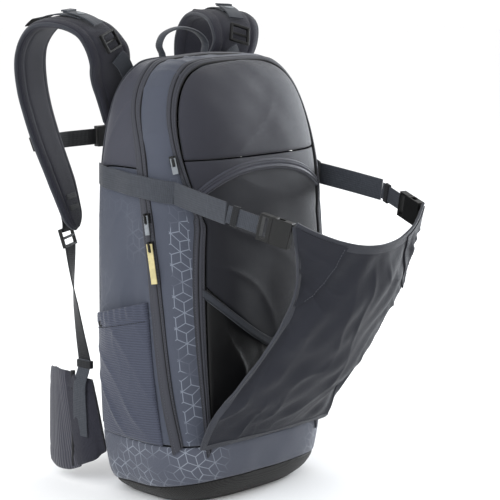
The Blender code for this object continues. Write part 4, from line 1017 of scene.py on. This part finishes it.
def build_side_straps():
    """Helmet straps along the bag's sides, their free ends, keepers and buckle webbing."""
    for s, word in SIDES:
        ks = [0.04, 0.25, 0.50, 0.75, 0.9, 1.0, 1.1, 1.3, 1.55, 1.75]
        line = []
        for k in ks:
            p = side(k, 0.387 - 0.0062 * k, s)
            over = 0.0066 if k > 0.6 else 0.0032
            line.append(p + [s * over * 0.96, -over * 0.28 * (k > 1.1), 0])
        line = np.array(line)
        sweep(f"side_strap_webbing_{word}", smooth(line, 90), UPRIGHT, SIDE_STRAP, SIDE_THIN, "grey_webbing",
              "bag", nodes=[f"side_strap_{word}"])
        keeper = KEEPER * [s, 1, 1]
        start = line[-1] + unit(line[-1] - line[-2]) * 0.0004
        free = smooth([start, (start + keeper) / 2 + [s * 0.001, 0, 0], keeper], 61)
        cut = 40
        near = sweep(f"free_strap_near_{word}", free[:cut + 1], UPRIGHT, SIDE_STRAP, SIDE_THIN, "grey_webbing",
                     None, nodes=[f"side_strap_free_{word}"])
        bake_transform(near)
        far = sweep(f"free_strap_far_{word}", free[cut:], UPRIGHT, SIDE_STRAP * 0.998, SIDE_THIN,
                    "grey_webbing", None)
        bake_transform(far)

        mouth = MOUTH * [s, 1, 1]
        axis = unit(mouth - keeper)
        wide = unit(np.array([0, 0, 1]) - axis * axis[2])
        feed, end = keeper + axis * 0.0022, mouth - axis * 0.0185
        t = np.linspace(0, 1, 30)[:, None]
        sweep(f"buckle_webbing_{word}", feed + (end - feed) * t, [wide, wide], WEBBING, SIDE_THIN, "grey_webbing",
              f"strap_end_{word}", nodes=[f"carrier_webbing_{word}"])
        place = feed + axis * 0.0100
        normal = np.cross(axis, wide)
        ring = []
        for a in np.linspace(0, 2 * math.pi, 49):
            c, q = math.cos(a), math.sin(a)
            ring.append(place + wide * 0.0114 * np.sign(c) * abs(c) ** 0.35
                        + normal * 0.0020 * np.sign(q) * abs(q) ** 0.5)
        sweep(f"keeper_loop_{word}", np.array(ring), [axis, axis], 0.0080, 0.0010, "black_webbing",
              f"keeper_{word}", nodes=[f"strap_keeper_{word}"])


def flap_surface(rows, cols):
    data = smooth(FLAP_ROWS, rows)
    s = spread(-1, 1, cols)[None]
    half, y_mid, z_mid, y_edge, z_edge = (data[:, i:i + 1] for i in range(5))
    share = s * s
    return np.stack([s * half, y_mid + (y_edge - y_mid) * share, z_mid + (z_edge - z_mid) * share], -1)


def build_flap():
    """The carrier flap: a sheet with gathers, bindings and stitched corner patches."""
    grid = flap_surface(110, 90)
    rows, cols = grid.shape[:2]
    t = np.linspace(0, 1, rows)[:, None]
    s = np.abs(np.linspace(-1, 1, cols))[None]
    middle = np.array([0, -0.10, 0.30])
    pull = np.clip(1 - np.hypot((1 - t) * 1.6, (1 - s) * 1.3), 0, 1)
    low = np.clip(1 - np.hypot(t * 1.8, (1 - s) * 1.2), 0, 1)
    soft = 0.0025 * ripples(grid, 0.09, 71) + 0.0016 * ripples(grid, 0.035, 72)
    folds = creases(grid, (1, 0.3, 0.2), 0.028, 73, 1.0, 2.0) * (0.0060 * low + 0.0020)
    folds += creases(grid, (0.7, 0, 1.0), 0.022, 74, 0.9, 2.0) * 0.0050 * pull
    hold = np.clip((1 - s) * 12, 0, 1) * np.clip(t * 14, 0, 1) * np.clip((1 - t) * 14, 0, 1)
    out = (soft + folds - 0.002) * hold
    n = normals(grid, middle)
    top = grid + n * (out + 0.0004)[..., None]
    bottom = grid + n * (out - 0.0010)[..., None]
    flap = shell("flap_cloth", top, bottom, "flap", "carrier", ["carrier_flap"])
    edge = np.vstack([top[::-1, 0], top[0, 1:], top[1:, -1]])
    under = np.vstack([bottom[::-1, 0], bottom[0, 1:], bottom[1:, -1]])
    centre = (edge + under) / 2
    across = unit(np.vstack([top[::-1, 3] - top[::-1, 0], top[3, 1:-1] - top[0, 1:-1], top[:, -4] - top[:, -1]]))
    sweep("flap_binding", centre[::2], across[::2], 0.0075, 0.0032, "binding", "carrier")
    rim = (top[-1] + bottom[-1]) / 2
    hang = unit(top[-5] - top[-1])
    sweep("flap_top_hem", rim, hang, 0.010, 0.0030, "binding", "carrier")
    lifted = top + n * 0.0012
    for s_, word in SIDES:
        patch = []
        for i in range(rows - 1, rows - 34, -1):
            reach = 2 + 24 * max(1 - (rows - 1 - i) / 33, 0.06) ** 0.8
            at = np.linspace(0, reach, 22)
            at = cols - 1 - at if s_ > 0 else at
            low = np.clip(np.floor(at).astype(int), 0, cols - 2)
            part = (at - low)[:, None]
            patch.append(lifted[i, low] * (1 - part) + lifted[i, low + 1] * part)
        patch = np.array(patch)
        pn = normals(patch, middle)
        shell(f"flap_tab_{word}", patch + pn * 0.0008, patch - pn * 0.0004, "flap", "carrier")
        line = patch[1:-3, -2] + pn[1:-3, -2] * 0.0009
        stitches(f"flap_tab_stitches_{word}", [(line, pn[1:-3, -2])], "thread", "carrier")


# ---------------------------------------------------------------- kept hardware


def finish_hardware():
    kept = {"plastic": "slider buckle lock adjuster clip".split(), "cream": ["cream"],
            "silver": ["silver", "front_zip_pull"]}
    for name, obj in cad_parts.items():
        for finish, words in kept.items():
            if any(w in name for w in words):
                for slot in obj.material_slots:
                    slot.material = FINISH[finish]


# ---------------------------------------------------------------- floor, light and camera


def plain(name, colour, rough):
    net = Net(name, colour, rough, 0.0, 0.0, 0.2)
    base = net.mix(net.noise(3.0), shade(colour, 0.99), shade(colour, 1.01))
    return net.done(base, net.noise(5.0), 0.0001, 0.1, 0.02)


def build_studio():
    mesh = bpy.data.meshes.new("floor")
    r = 9.0
    mesh.from_pydata([(-r, -r, -0.0006), (r, -r, -0.0006), (r, r, -0.0006), (-r, r, -0.0006)], [], [(0, 1, 2, 3)])
    mesh.materials.append(plain("look_floor", (0.93, 0.93, 0.93), 0.9))
    floor = bpy.data.objects.new("floor", mesh)
    bpy.context.scene.collection.objects.link(floor)
    scene = bpy.context.scene
    world = bpy.data.worlds.new("studio")
    world.use_nodes = True
    world.node_tree.nodes["Background"].inputs[0].default_value = (1.0, 1.0, 1.0, 1.0)
    world.node_tree.nodes["Background"].inputs[1].default_value = 1.08
    scene.world = world
    for name, at, power, size in (("key", (-2.3, -0.2, 1.3), 34, 1.8), ("edge", (2.4, -0.2, 0.75), 60, 0.9),
                                  ("back", (0.5, 2.4, 1.5), 8, 1.6)):
        light = bpy.data.lights.new(name, "AREA")
        light.energy, light.size = power, size
        light.color = (0.90, 0.95, 1.0)
        obj = bpy.data.objects.new(name, light)
        obj.location = at
        obj.rotation_euler = (Vector((0, 0, 0.27)) - Vector(at)).to_track_quat("-Z", "Y").to_euler()
        scene.collection.objects.link(obj)
    scene.view_settings.view_transform = "Standard"


def build_camera():
    """A camera in front and to the left, looking slightly down."""
    azimuth, elevation, distance = math.radians(-45), math.radians(10), 2.2
    aim, focal_in_frames = Vector((0.0414, -0.0414, 0.2846)), 1.626
    back = Vector((math.sin(azimuth) * math.cos(elevation), -math.cos(azimuth) * math.cos(elevation),
                   math.sin(elevation)))
    data = bpy.data.cameras.new("camera")
    data.sensor_width = 36
    data.lens = focal_in_frames * distance * data.sensor_width
    camera = bpy.data.objects.new("camera", data)
    camera.location = aim + back * distance
    camera.rotation_euler = (-back).to_track_quat("-Z", "Y").to_euler()
    bpy.context.scene.collection.objects.link(camera)
    bpy.context.scene.camera = camera


for build in (build_studio, build_camera, build_bag_panels, build_base, build_front, build_back,
              build_zip_bands, build_side_pockets, build_stowage_mouth, build_back_pads, build_harness,
              build_crossing_webbing, build_sternum, build_haul_loop, build_hip_wings, build_side_straps,
              build_flap, finish_hardware):
    build()
